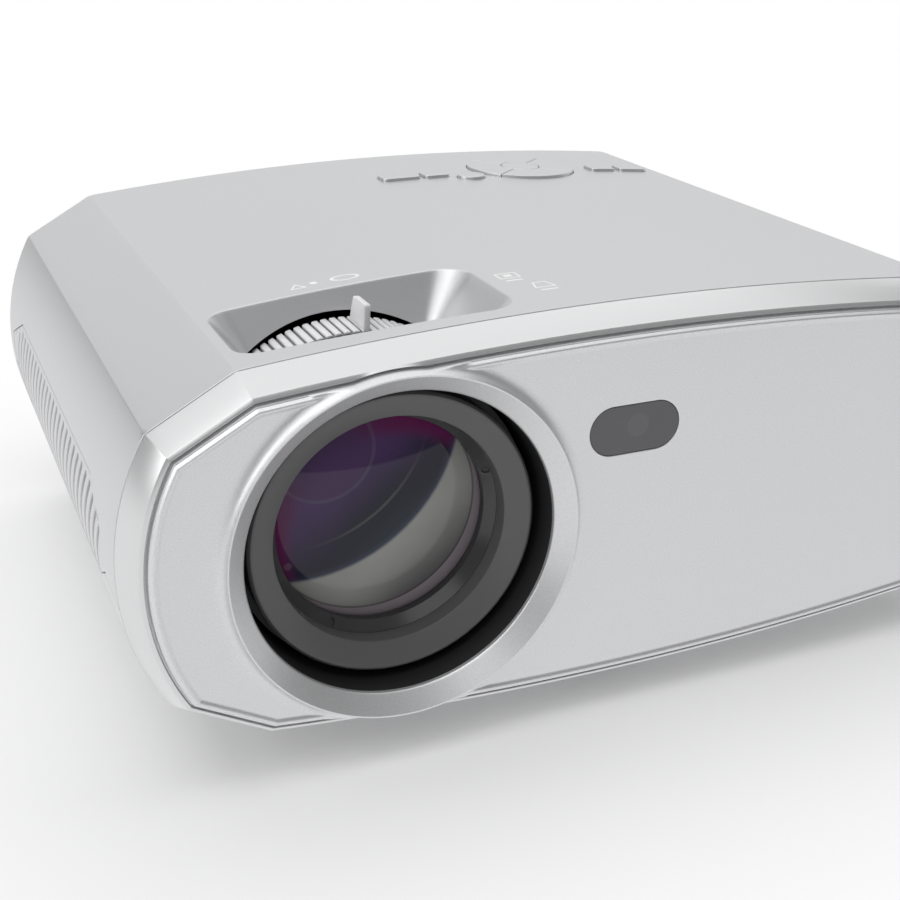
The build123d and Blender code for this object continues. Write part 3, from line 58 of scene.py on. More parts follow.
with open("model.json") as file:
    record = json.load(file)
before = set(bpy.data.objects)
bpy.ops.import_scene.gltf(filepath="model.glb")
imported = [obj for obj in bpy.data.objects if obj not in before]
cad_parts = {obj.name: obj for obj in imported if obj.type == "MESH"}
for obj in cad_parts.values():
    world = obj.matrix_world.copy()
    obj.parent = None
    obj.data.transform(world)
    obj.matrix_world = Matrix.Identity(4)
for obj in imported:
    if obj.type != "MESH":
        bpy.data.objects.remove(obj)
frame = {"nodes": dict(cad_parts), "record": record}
cad_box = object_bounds()

MM = 0.001
PARTING_Y = -115.25 * MM
MIDDLE_Z = 74.3 * MM
GUARD = 0.25 * MM

# A side grille's corners in height and depth, from the front round over the top.
GRILLE = np.array([
    (-6.5, 20.0), (6.5, 20.0), (17.5, 42.0), (17.5, 208.0),
    (6.5, 236.0), (-6.5, 236.0), (-17.5, 208.0), (-17.5, 42.0),
]) * MM

# The keys seen from above: bars as x, depth, width and length, round ones as x, depth and radius.
BARS = {
    "menu_key": np.array((-0.5, 198.0, 17.0, 10.0)) * MM,
    "source_key": np.array((15.75, 197.5, 11.5, 10.0)) * MM,
    "volume_down_key": np.array((97.5, 197.5, 12.0, 10.0)) * MM,
    "volume_up_key": np.array((113.0, 197.5, 14.0, 10.0)) * MM,
}
POWER = np.array((30.0, 189.5, 6.0)) * MM
PAD = np.array((60.0, 203.0, 24.0)) * MM

# How far the keys stand over the crown and reach below it, and their rounded edge as distance in and lift.
KEY_RISE = 1.2 * MM
KEY_DEPTH = 6.0 * MM
KEY_EDGE = ((0.4, 0), (0.2, -0.05), (0.06, -0.17), (0, -0.4))


def length(name, millimetres, text):
    """A size in the sidebar."""
    return FloatProperty(name=name, description=text, default=millimetres * MM, unit="LENGTH", precision=5)


def tint(name, colour, text):
    """A colour in the sidebar."""
    return FloatVectorProperty(name=name, description=text, default=colour, subtype="COLOR", min=0, max=1)


class ProjectorBody(bpy.types.PropertyGroup):
    width: length("Width", 330.0, "Across the bulged sides")
    height: length("Height", 132.6, "From the bottom's crown to the top's crown")
    depth: length("Depth", 246.5, "From the bezel to the rear edge")
    bulge: length("Side bulge", 12.3, "How far each side swells out")
    crown: length("Crown", 6.5, "How far the top and bottom swell")
    shoulder: length("Shoulder", 125.4, "Half width of the crowned top")
    cheek: length("Cheek", 44.7, "Half height of the bulged side")
    wall: length("Wall", 2.4, "Thickness of the covers")
    seam: length("Seam", 0.25, "Gap between covers")
    split: length("Split", -9.0, "Height of the covers' split from the middle")
    facet_round: length("Facet rounding", 1.2, "Radius along the body's facet edges")
    edge_round: length("Edge rounding", 0.3, "Radius along openings and seams")


class ProjectorFront(bpy.types.PropertyGroup):
    band_inset: length("Band inset", 5.0, "How far the bezel's band leans in")
    band_depth: length("Band depth", 10.6, "Depth of the bezel's band")
    lip_inset: length("Lip inset", 1.5, "How far the bezel's lip leans in")
    lip_depth: length("Lip depth", 1.05, "Depth of the bezel's lip")
    seat: length("Panel seat", 9.8, "Where the panel sits, ahead of the parting line")
    gap: length("Panel gap", 0.9, "Shadow gap round the panel")
    thickness: length("Panel thickness", 3.6, "From the seat to the panel's border")
    border: length("Panel border", 2.8, "Width of the raised border")
    sink: length("Face sink", 0.6, "How far the face is sunk in its border")
    flange: length("Flange", 5.5, "Width of the ledge behind the panel")
    window_x: length("Window place", -1.2, "Middle of the sensor window from the body's middle")
    window_z: length("Window rise", 27.6, "Middle of the sensor window above the middle")
    window_length: length("Window length", 32.0, "Length of the sensor window")
    window_height: length("Window height", 16.4, "Height of the sensor window")
    window_thickness: length("Window thickness", 1.8, "Thickness of the sensor window")


class ProjectorLens(bpy.types.PropertyGroup):
    centre: length("Lens place", -78.8, "Lens axis from the body's middle")
    crest: length("Crest", 56.8, "Radius of the surround's crest")
    crest_width: length("Crest width", 0.5, "Flat on the crest")
    reach: length("Reach", 16.0, "How far the crest stands ahead of the parting line")
    throat: length("Throat", 50.6, "Radius of the throat behind the funnel")
    throat_depth: length("Throat depth", 11.1, "Where the funnel meets the throat")
    fillet: length("Fillet", 61.0, "Radius where the surround meets the face")
    foot: length("Foot", 57.3, "Radius of the surround's foot")
    ring: length("Focus ring", 55.5, "Radius over the ring's ribs")
    ring_bore: length("Ring bore", 49.7, "Radius of the ring's bore")
    ring_front: length("Ring front", 34.6, "Depth of the ring's front face")
    ring_rear: length("Ring rear", 51.2, "Depth of the ring's rear face")
    ribs: IntProperty(name="Ribs", description="Ribs round the focus ring", default=112, min=12)


class ProjectorRecess(bpy.types.PropertyGroup):
    width: length("Recess width", 92.0, "Width of the recess at the crown")
    length: length("Recess length", 48.0, "Length of the recess along the body")
    front: length("Recess front", 9.0, "Where the recess starts behind the parting line")
    corner: length("Recess corner", 10.0, "Corner radius at the crown")
    low_corner: length("Low corner", 2.0, "Corner radius at the floor")
    depth: length("Recess depth", 20.0, "Depth over which the corners narrow")
    wall: length("Recess wall", 2.0, "Thickness of the recess's walls")
    bore: length("Recess bore", 57.0, "Radius of the cut round the focus ring")
    side_slope: FloatProperty(name="Side slope", description="Lean of the end walls", default=0.8)
    end_slope: FloatProperty(name="Rear slope", description="Lean of the long walls", default=0.55)


class ProjectorColours(bpy.types.PropertyGroup):
    shell: tint("Shell", (0.63, 0.635, 0.645), "Satin silver grey of the covers")
    bezel: tint("Bezel", (0.7, 0.705, 0.71), "Brighter silver of the bezel")
    face: tint("Face", (0.73, 0.735, 0.745), "Speckled silver of the front panel")
    ring: tint("Focus ring", (0.74, 0.74, 0.75), "Pale grey of the focus ring")
    barrel: tint("Barrel", (0.115, 0.115, 0.118), "Dark grey of the lens barrel")
    black: tint("Black", (0.02, 0.02, 0.021), "Black of the shroud and inner parts")
    window: tint("Window", (0.11, 0.11, 0.117), "Smoked grey of the sensor window")
    coating: tint("Coating", (0.085, 0.045, 0.14), "Purple of the lens coating")
    rear: tint("Rear", (0.035, 0.035, 0.038), "Dark grey of the rear panel")
    floor: tint("Floor", (0.88, 0.88, 0.88), "Pale floor")


# Outlines and surfaces

def unit(vectors):
    """Rows of vectors brought to length one."""
    return vectors / np.linalg.norm(vectors, axis=-1, keepdims=True)


def band(loops):
    """Surface between successive loops of as many points each: row i, column j is point j of loop i."""
    stack = np.stack(loops)
    index = np.arange(stack.shape[0] * stack.shape[1]).reshape(stack.shape[:2])
    ahead = np.roll(index, -1, axis=1)
    faces = np.stack([index[:-1], ahead[:-1], ahead[1:], index[1:]], axis=-1)
    return stack.reshape(-1, 3), faces.reshape(-1, 4)


def fan(loop, middle):
    """Triangles from a middle point to a loop."""
    index = np.arange(len(loop))
    faces = np.stack([index, np.roll(index, -1), np.full(len(loop), len(loop))], axis=1)
    return np.concatenate([loop, [middle]]), faces


def capped(loops, first, last):
    """A band closed at both ends, each by triangles to a middle point."""
    return [band(loops), fan(loops[0], first), fan(loops[-1], last)]


def turn_of(back, ahead):
    """Angle that a path turns at a corner, from the unit directions back along it and ahead."""
    return np.arccos(np.clip(-np.sum(back * ahead, axis=-1), -1, 1))


def corner_arc(point, back, ahead, radius, steps):
    """Arc rounding each corner: its centre lies on the bisector at radius / cos(turn / 2), and the arc
    swings between the two tangent points by spherical interpolation."""
    turn = np.maximum(turn_of(back, ahead), 1e-5)[..., None]
    reach = radius * np.tan(turn / 2)
    middle = back + ahead
    middle = middle / np.maximum(np.linalg.norm(middle, axis=-1, keepdims=True), 1e-12)
    centre = point + middle * radius / np.cos(turn / 2)
    start, end = point + back * reach - centre, point + ahead * reach - centre
    share = np.linspace(0, 1, steps + 1).reshape((-1,) + (1,) * point.ndim)
    swing = (np.sin((1 - share) * turn) * start + np.sin(share * turn) * end) / np.sin(turn)
    return np.moveaxis(centre + swing, 0, -2)


def mitres(corners):
    """For each corner of a closed outline the unit direction ahead and the mitre towards its left, which
    shifts both sides there by one."""
    ahead = unit(np.roll(corners, -1, axis=0) - corners)
    left = np.stack([-ahead[:, 1], ahead[:, 0]], axis=1)
    before = np.roll(left, 1, axis=0)
    return ahead, (left + before) / (1 + np.sum(left * before, axis=1, keepdims=True))


def rounded_loop(corners, radii, step, back=0.0, arc_steps=5):
    """Closed outline with rounded corners, material on its left. back moves it that far into the
    material: each corner slides along its mitre and its radius grows at hollow corners and shrinks at
    outer ones. Straight runs are cut into equal steps that don't depend on back."""
    base = np.asarray(corners, float)
    runs = np.linalg.norm(np.roll(base, -1, axis=0) - base, axis=1)
    ahead, mitre = mitres(base)
    behind = -np.roll(ahead, 1, axis=0)
    side = np.sign(-behind[:, 0] * ahead[:, 1] + behind[:, 1] * ahead[:, 0])
    room = 0.48 * np.minimum(runs, np.roll(runs, 1)) / np.tan(turn_of(behind, ahead) / 2)
    radius = np.maximum(np.minimum(radii, np.maximum(room, 0.5 * runs.min())) - back * side, 0.1 * MM)
    arcs = corner_arc(base + mitre * back, behind, ahead, radius[:, None], arc_steps)
    pieces = []
    for arc, following, run in zip(arcs, np.roll(arcs, -1, axis=0), runs):
        count = max(round(run / step), 1)
        share = np.arange(1, count)[:, None] / count
        pieces += [arc, arc[-1] * (1 - share) + following[0] * share]
    return np.concatenate(pieces)


def opening(corners, radii, step, arc_steps=5):
    """An opening's outline as a function of how far it moves back into the material round it."""
    return lambda back: rounded_loop(corners, radii, step, back, arc_steps)


def rectangle(x, y, width, height):
    """Corners of a rectangle run clockwise, so that the material round an opening lies on its left."""
    a, b = width / 2, height / 2
    return np.array([(x - a, y - b), (x - a, y + b), (x + a, y + b), (x + a, y - b)])


def around(count):
    """Angles of equal steps once round."""
    return np.arange(count) / count * 2 * math.pi


def circle(x, y, radius, count):
    """Round opening run clockwise, as a function of how far it moves back into the material."""
    angle = -around(count)

    def at(back):
        return np.stack([x + (radius + back) * np.cos(angle), y + (radius + back) * np.sin(angle)], axis=1)

    return at


def inside(points, loops):
    """Even-odd test of points against closed loops, by the edges crossed on the way out along +u."""
    crossings, batch = np.zeros(len(points), int), 4000
    for a in loops:
        b = np.roll(a, -1, axis=0)
        rise = np.where(b[:, 1] == a[:, 1], 1e-12, b[:, 1] - a[:, 1])
        for low in range(0, len(points), batch):
            u, v = points[low:low + batch, 0:1], points[low:low + batch, 1:2]
            cross = a[:, 0] + (v - a[:, 1]) / rise * (b[:, 0] - a[:, 0])
            crossings[low:low + batch] += np.sum(((a[:, 1] > v) != (b[:, 1] > v)) & (u < cross), axis=1)
    return crossings % 2 == 1


def sheet_of(loops, spacing, place, lines=(), under=False):
    """Flat triangulation between closed loops, put in its place: a lattice of points at the spacing, the
    loops without repeated points and any inner lines are joined by a constrained Delaunay triangulation.
    Triangles outside the loops and slivers along them are dropped; under turns the sheet's face over."""
    loops = [loop[np.linalg.norm(loop - np.roll(loop, 1, axis=0), axis=1) > 0.0055 * MM] for loop in loops]
    low, high = loops[0].min(axis=0), loops[0].max(axis=0)
    across = np.arange(low[0] + spacing / 2, high[0], spacing)
    along = np.arange(low[1] + spacing / 2, high[1], spacing * 0.866)
    u, v = np.meshgrid(across, along)
    u = u + (np.arange(len(along)) % 2)[:, None] * spacing / 2
    lattice = np.stack([u.ravel(), v.ravel()], axis=1)
    lattice = lattice[inside(lattice, loops)]
    fixed = np.concatenate(loops + list(lines))
    keep, batch, clear = np.ones(len(lattice), bool), 1000, 0.45 * spacing
    for start in range(0, len(lattice), batch):
        near = lattice[start:start + batch, None] - fixed[None]
        keep[start:start + batch] = np.min(np.sum(near**2, axis=2), axis=1) > clear**2
    points = np.concatenate([fixed, lattice[keep]])
    edges, offset = [], 0
    for number, run in enumerate(loops + list(lines)):
        index = offset + np.arange(len(run))
        pairs = np.stack([index, np.roll(index, -1)], axis=1)
        edges.append(pairs if number < len(loops) else pairs[:-1])
        offset += len(run)
    flat = [Vector(p) for p in (points / MM).tolist()]
    made = delaunay_2d_cdt(flat, np.concatenate(edges).tolist(), [], 0, 1e-5)
    found = np.array([tuple(p) for p in made[0]]) * MM
    triangles = np.array([t for t in made[2] if len(t) == 3])
    rim = sum(len(loop) for loop in loops)
    on_rim = np.array([min(sources, default=rim) < rim for sources in made[3]])
    a, b, c = (found[triangles[:, k]] for k in range(3))
    area = np.abs((b[:, 0] - a[:, 0]) * (c[:, 1] - a[:, 1]) - (b[:, 1] - a[:, 1]) * (c[:, 0] - a[:, 0]))
    sliver = (area < (0.004 * MM) ** 2) & on_rim[triangles].all(axis=1)
    faces = triangles[inside((a + b + c) / 3, loops) & ~sliver]
    return place(found), faces[:, ::-1] if under else faces


def finish_piece(name, mesh, finish, body):
    """Places a mesh in the scene: it rides on a body, stands for its CAD node and takes its slot."""
    mesh.materials.clear()
    mesh.materials.append(finish)
    piece = bpy.data.objects.new(name, mesh)
    bpy.context.scene.collection.objects.link(piece)
    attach(piece, body)
    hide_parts(name)
    return piece


def make_piece(name, parts, finish, body, sharp=35.0):
    """A piece from parts of (points, faces) in x, depth behind the parting line and height above the
    middle. Doubles are merged, normals turned outwards and edges over the sharp angle kept crisp."""
    offsets = np.cumsum([0] + [len(where) for where, _ in parts])
    corners = np.concatenate([(faces + offset).ravel() for (_, faces), offset in zip(parts, offsets)])
    sizes = np.concatenate([np.full(len(faces), faces.shape[1]) for _, faces in parts])
    points = np.concatenate([where for where, _ in parts]) + (0, PARTING_Y, MIDDLE_Z)
    mesh = bpy.data.meshes.new(name)
    mesh.vertices.add(len(points))
    mesh.vertices.foreach_set("co", points.astype(np.float32).ravel())
    mesh.loops.add(len(corners))
    mesh.loops.foreach_set("vertex_index", corners.astype(np.int32))
    mesh.polygons.add(len(sizes))
    mesh.polygons.foreach_set("loop_start", (np.cumsum(sizes) - sizes).astype(np.int32))
    mesh.update(calc_edges=True)
    mesh.validate()
    tidy = bmesh.new()
    tidy.from_mesh(mesh)
    bmesh.ops.remove_doubles(tidy, verts=tidy.verts, dist=0.006 * MM)
    bmesh.ops.recalc_face_normals(tidy, faces=tidy.faces)
    tidy.to_mesh(mesh)
    tidy.free()
    mesh.shade_smooth()
    mesh.set_sharp_from_angle(angle=math.radians(sharp))
    finish_piece(name, mesh, finish, body)


def soften_copy(name, width, finish, body):
    """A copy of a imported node, its doubles merged, with bevelled edges and normals weighted by area."""
    source = frame["nodes"][name]
    mesh = source.data.copy()
    mesh.transform(source.matrix_world)
    tidy = bmesh.new()
    tidy.from_mesh(mesh)
    bmesh.ops.remove_doubles(tidy, verts=tidy.verts, dist=0.002 * MM)
    bmesh.ops.dissolve_limit(tidy, angle_limit=math.radians(0.1), verts=tidy.verts, edges=tidy.edges)
    tidy.to_mesh(mesh)
    tidy.free()
    mesh.shade_smooth()
    piece = finish_piece(name, mesh, finish, body)
    bevel = piece.modifiers.new("Bevel", "BEVEL")
    bevel.width, bevel.segments, bevel.limit_method = width, 2, "ANGLE"
    bevel.angle_limit = math.radians(35)
    piece.modifiers.new("Normals", "WEIGHTED_NORMAL").weight = 90


def bow_radius(half_chord, rise):
    """Radius of an arc from half its chord and its rise."""
    return (half_chord**2 + rise**2) / (2 * rise)


def chamfer_line(body):
    """The lower end of the straight chamfer and its direction."""
    start = np.array([body.width / 2 - body.bulge, body.cheek])
    along = np.array([body.shoulder, body.height / 2 - body.crown]) - start
    return start, along / np.linalg.norm(along)


def quarter_outline(body, inset, crown_count=90, side_count=26, chamfer_count=8, arc_steps=5):
    """Quarter of the body's outline moved in by inset, from the middle of the top to the middle of the
    right side: an arc about a point far below, a rounded corner, a straight chamfer, a rounded corner and
    the bulge's arc."""
    half_width, half_height = body.width / 2, body.height / 2
    crown_radius, bulge_radius = bow_radius(body.shoulder, body.crown), bow_radius(body.cheek, body.bulge)
    crown_centre = np.array([0, half_height - crown_radius])
    bulge_centre = np.array([half_width - bulge_radius, 0])
    start, along = chamfer_line(body)
    start = start - np.array([along[1], -along[0]]) * inset
    crown_radius, bulge_radius = crown_radius - inset, bulge_radius - inset

    def meets(centre, reach, sign):
        away = start - centre
        middle = -away @ along
        return start + along * (middle + sign * math.sqrt(middle**2 - away @ away + reach**2))

    top, side = meets(crown_centre, crown_radius, 1), meets(bulge_centre, bulge_radius, -1)
    crown_angle = math.asin(top[0] / crown_radius)
    bulge_angle = math.asin(side[1] / bulge_radius)
    crown_back = np.array([-math.cos(crown_angle), math.sin(crown_angle)])
    bulge_ahead = np.array([math.sin(bulge_angle), -math.cos(bulge_angle)])
    top_arc = corner_arc(top, crown_back, -along, body.facet_round, arc_steps)
    side_arc = corner_arc(side, along, bulge_ahead, body.facet_round, arc_steps)
    crown = np.linspace(0, math.asin(top_arc[0, 0] / crown_radius), crown_count)[:-1]
    bulge = np.linspace(math.asin(side_arc[-1, 1] / bulge_radius), 0, side_count)[1:]
    share = np.linspace(0, 1, chamfer_count)[1:-1, None]
    return np.concatenate([
        crown_centre + crown_radius * np.stack([np.sin(crown), np.cos(crown)], axis=1),
        top_arc,
        top_arc[-1] * (1 - share) + side_arc[0] * share,
        side_arc,
        bulge_centre + bulge_radius * np.stack([np.cos(bulge), np.sin(bulge)], axis=1),
    ])


def body_loop(body, inset):
    """The body's whole outline moved in by inset: a quarter and its three mirror images."""
    quarter = quarter_outline(body, inset)
    return np.concatenate([quarter, (quarter * (1, -1))[::-1][1:], (quarter * -1)[1:],
                           (quarter * (-1, 1))[::-1][1:-1]])


def swell(loop, centre, radius):
    """An outline pushed up and down to a circle about the lens wherever the circle stands further out."""
    reach = np.sqrt(np.maximum(radius**2 - (loop[:, 0] - centre) ** 2, 0))
    return np.stack([loop[:, 0], np.sign(loop[:, 1]) * np.maximum(np.abs(loop[:, 1]), reach)], axis=1)


def upright(loop, depth):
    """A loop in x and height, stood at a depth or at a depth for each point."""
    return np.stack([loop[:, 0], np.broadcast_to(depth, len(loop)), loop[:, 1]], axis=1)


def level(loop, height):
    """A loop in x and depth, laid at a height or at a height for each point."""
    return np.stack([loop[:, 0], loop[:, 1], np.broadcast_to(height, len(loop))], axis=1)


def crown_drop(body, x):
    """How far the crown has fallen at x."""
    radius = bow_radius(body.shoulder, body.crown)
    return radius - np.sqrt(radius**2 - x**2)


def over_crown(body, flat, lift):
    """Points of (x, depth) lifted over the crown."""
    return level(flat, body.height / 2 - crown_drop(body, flat[:, 0]) + lift)


class BodySkin:
    """The body's side as a sheet: s runs along the outline from the middle of the top, or of the bottom
    with sign -1, and the second parameter is the depth."""

    crown_count, arc_steps = 1500, 12
    bulge_start = crown_count + 2 * (arc_steps + 1)

    def __init__(self, body, sign):
        quarter = quarter_outline(body, 0, self.crown_count, 700, 3, self.arc_steps)
        self.half = np.concatenate([quarter, (quarter * (1, -1))[::-1][1:]])
        self.sign = sign
        steps = np.linalg.norm(np.diff(self.half, axis=0), axis=1)
        self.s = np.concatenate([[0], np.cumsum(steps)])
        tangent = np.gradient(self.half, self.s, axis=0)
        self.out = unit(np.stack([-tangent[:, 1], tangent[:, 0]], axis=1))
        self.facets = self.s[self.crown_count - 2:self.bulge_start + 1]
        self.side = len(quarter)

    def lay(self, flat, count=crown_count):
        """Points of (x, depth) seen straight down as (s, depth), along the outline's first count points."""
        s = np.sign(flat[:, 0]) * np.interp(np.abs(flat[:, 0]), self.half[:count, 0], self.s[:count])
        return np.stack([s, flat[:, 1]], axis=1)

    def at_height(self, height):
        """s of a height on the right side, counted towards this sheet's crown."""
        bulge = slice(self.bulge_start, -self.bulge_start)
        return np.interp(-height, -self.half[bulge, 1], self.s[bulge])

    def place(self, sheet, sink=0.0, straight=False):
        """Points of (s, depth) on the outline, moved in by sink along its normal or straight down."""
        s, side = np.abs(sheet[:, 0]), np.sign(sheet[:, 0])
        x, z = np.interp(s, self.s, self.half[:, 0]), np.interp(s, self.s, self.half[:, 1])
        if not straight:
            x = x - sink * np.interp(s, self.s, self.out[:, 0])
        z = z - sink * (1 if straight else np.interp(s, self.s, self.out[:, 1]))
        return np.stack([side * x, sheet[:, 1], self.sign * z], axis=1)


# Covers

def recess_outline(recess, lens, drop, grow):
    """Outline of the recess a distance below the crown over the lens: a rounded rectangle that narrows
    with its slopes, widened by grow; drop may differ from point to point."""
    flat = rounded_loop(rectangle(0, 0, recess.width, recess.length), recess.corner, 1.6 * MM, 0, 8)
    half = np.array([recess.width, recess.length]) / 2
    inner = half - recess.corner
    corner_at = np.clip(flat, -inner, inner)
    direction = (flat - corner_at) / np.maximum(np.linalg.norm(flat - corner_at, axis=1, keepdims=True), 1e-9)
    drop = np.broadcast_to(drop, len(flat))[:, None]
    radius = recess.corner - (recess.corner - recess.low_corner) / recess.depth * drop + grow
    inner_now = half - np.array([recess.side_slope, recess.end_slope]) * drop + grow - radius
    middle = np.array([lens.centre, recess.front + recess.length / 2])
    return middle + corner_at / inner * inner_now + direction * radius


def recess_walls(skin, body, recess, lens):
    """The recess's loop in the outer sheet, its loop in the inner one and its stack of loops: flat on the
    crown, over a rounded rim, down the leaning wall to the bore round the focus ring, through the wall
    and back up its outside to the cover's inner skin."""
    top = body.height / 2 - crown_drop(body, lens.centre)
    rim = 0.45 * MM

    def on_crown(grow):
        drop = np.zeros(1)
        for _ in range(12):
            where = recess_outline(recess, lens, drop, grow)
            drop = top - (body.height / 2 - crown_drop(body, where[:, 0]))
        return where, drop

    def on_wall(share, grow, start, foot):
        drop = start + (foot - start) * share
        return level(recess_outline(recess, lens, drop, grow), top - drop)

    def at_bore(grow):
        low, high = np.zeros(len(edge)), np.full(len(edge), recess.depth * 1.2)
        for _ in range(30):
            middle = (low + high) / 2
            where = recess_outline(recess, lens, middle, grow)
            out = np.hypot(where[:, 0] - lens.centre, top - middle) > recess.bore
            low, high = np.where(out, middle, low), np.where(out, high, middle)
        return middle

    edge, start = on_crown(0)
    foot = at_bore(0)
    sheet = skin.lay(on_crown(rim + GUARD)[0])
    near, flat_edge = skin.place(skin.lay(on_crown(rim)[0])), level(edge, top - start)
    wall_top = on_wall(rim * 1.1 / np.maximum(foot - start, 1e-6), 0, start, foot)
    loops = [skin.place(sheet), near]
    for share in (0.25, 0.5, 0.75):
        loops.append((1 - share) ** 2 * near + 2 * share * (1 - share) * flat_edge + share**2 * wall_top)
    loops += [wall_top] + [on_wall(share, 0, start, foot) for share in np.linspace(0.12, 1, 12)]
    inner_edge, inner_start = on_crown(recess.wall)
    inner_start = inner_start + body.wall
    outer_foot = np.maximum(at_bore(recess.wall), inner_start)
    loops += [on_wall(share, recess.wall, inner_start, outer_foot) for share in (1, 0.6)]
    inner_sheet = skin.lay(inner_edge)
    return sheet, inner_sheet, loops + [skin.place(inner_sheet, body.wall)]


def cover_edge(skin, body, split):
    """Corners of a cover's sheet in s and depth, material on the left: a rectangle with its part of the
    side grilles cut into its two long sides."""
    heights, depths = GRILLE[:, 0], GRILLE[:, 1]
    end = skin.at_height(split)
    slope = (depths[2] - depths[1]) / (heights[2] - heights[1])
    near = depths[1] + (abs(split) - heights[1]) * slope
    far = depths[4] - (abs(split) - heights[4]) * (depths[4] - depths[3]) / (heights[3] - heights[4])
    corners = range(6) if split < 0 else (2, 3)
    notch = [(skin.at_height(heights[corner]), depths[corner]) for corner in corners]
    right = [(end, body.seam + 0.12 * MM), (end, near), *notch, (end, far), (end, body.depth)]
    return np.array(right + [(-s, depth) for s, depth in reversed(right)])


def build_cover(name, sign, finish):
    """A cover: an outer and an inner skin over the same sheet, joined round its edge and round each
    opening by rounded rims."""
    scene = bpy.context.scene
    body = scene.projector_body
    skin = BodySkin(body, sign)
    angle = np.linspace(0, math.pi / 2, 4)
    round_rows = zip(body.edge_round * (1 - np.sin(angle)), body.edge_round * (1 - np.cos(angle)))
    rows = [(body.edge_round + GUARD, 0.0), *round_rows, (0.0, body.wall)]
    parts, outer, inner = [], [], []

    def join(shape):
        parts.append(band([skin.place(shape(back), sink) for back, sink in rows]))
        outer.append(shape(rows[0][0]))
        inner.append(shape(0))

    split = body.split + body.seam if sign > 0 else -body.split
    join(opening(cover_edge(skin, body, split), 0.35 * MM, 2.2 * MM, 3))
    if sign > 0:
        sheet, inner_sheet, loops = recess_walls(skin, body, scene.projector_recess, scene.projector_lens)
        parts.append(band(loops))
        outer.append(sheet)
        inner.append(inner_sheet)
        gap = 0.3 * MM
        shapes = [opening(rectangle(x, y, width + 2 * gap, reach + 2 * gap), 2.3 * MM, 1.0 * MM)
                  for x, y, width, reach in BARS.values()]
        shapes += [circle(x, y, radius + gap, count) for (x, y, radius), count in ((POWER, 48), (PAD, 140))]
        for shape in shapes:
            join(lambda back: skin.lay(shape(back)))
    else:
        for spot, sheet, hole, loops in bottom_features(skin, body):
            parts.append(band(loops))
            outer.append(sheet)
            if hole is None:
                parts.append(fan(loops[-1], (*spot, loops[-1][0, 2])))
            else:
                inner.append(hole)
    depths = np.linspace(outer[0][:, 1].min(), outer[0][:, 1].max(), 60)[1:-1]
    lines = [np.stack([np.full(len(depths), side * s), depths], axis=1)
             for s in np.unique(np.round(skin.facets[::3], 7)) for side in (-1, 1)]
    parts.append(sheet_of(outer, 6 * MM, skin.place, lines))
    parts.append(sheet_of(inner, 9 * MM, lambda flat: skin.place(flat, body.wall), under=True))
    make_piece(name, parts, finish, "housing")


def bottom_features(skin, body):
    """Screw wells, bracket holes, feet posts and the front foot's hole: for each its spot, its loop in
    the outer sheet, its loop in the inner sheet if it goes through, and its stack of loops."""
    made = []
    rim, bottom, post = 0.3 * MM, -body.height / 2, 4.0 * MM - MIDDLE_Z
    screw_x, screw_radius, screw_seat = 141.0 * MM, 3.2 * MM, -43.0 * MM
    bracket_x, bracket_radius, bracket_seat = 75.0 * MM, 4.2 * MM, bottom + 3.0 * MM
    rear_foot, front_foot, front_seat = (100.0 * MM, 215.0 * MM), (0.0, 28.0 * MM), bottom + 22 * MM

    def round_loop(spot, radius):
        return circle(*spot, radius, 48)(0)

    def on_sheet(spot, radius):
        return skin.lay(round_loop(spot, radius), skin.side)

    def well(spot, radius, height, end_radius, through=False):
        wide, edge = on_sheet(spot, radius + rim + GUARD), on_sheet(spot, radius)
        loops = [skin.place(wide), skin.place(on_sheet(spot, radius + rim)),
                 skin.place(on_sheet(spot, radius + 0.3 * rim), 0.3 * rim), skin.place(edge, rim),
                 level(round_loop(spot, radius), height), level(round_loop(spot, end_radius), height)]
        if through:
            loops.append(skin.place(edge, body.wall))
        made.append((spot, wide, edge if through else None, loops))

    for side in (-1, 1):
        for depth in (12.0, 233.0):
            well((side * screw_x, depth * MM), screw_radius, screw_seat, 1.0 * MM)
        for depth in (90.0, 190.0):
            well((side * bracket_x, depth * MM), bracket_radius, bracket_seat, 1.65 * MM)
        spot = (side * rear_foot[0], rear_foot[1])
        loops = [skin.place(on_sheet(spot, radius * MM), sink * MM, True)
                 for radius, sink in ((11.4, 0), (11.0, 0), (10.65, -0.15), (10.5, -0.5))]
        loops += [level(round_loop(spot, radius * MM), post + rise * MM) for radius, rise in
                  ((10.5, 0.5), (10.35, 0.15), (10.0, 0), (8.65, 0), (8.65, 2), (1.0, 2))]
        made.append((spot, on_sheet(spot, 11.4 * MM), None, loops))
    well(front_foot, 4.05 * MM, front_seat, 8.0 * MM, True)
    return made


# Front pieces

def soften(corners, radius):
    """Arcs over the corners of a closed profile, of a small radius or less where its sides are short."""
    back, ahead = np.roll(corners, 1, axis=0) - corners, np.roll(corners, -1, axis=0) - corners
    room = np.minimum(np.linalg.norm(back, axis=1), np.linalg.norm(ahead, axis=1))[:, None]
    back, ahead = unit(back), unit(ahead)
    turn = turn_of(back, ahead)[:, None]
    fits = np.minimum(radius, 0.45 * room / np.maximum(np.tan(turn / 2), 1e-6))
    return corner_arc(corners, back, ahead, fits, 3)


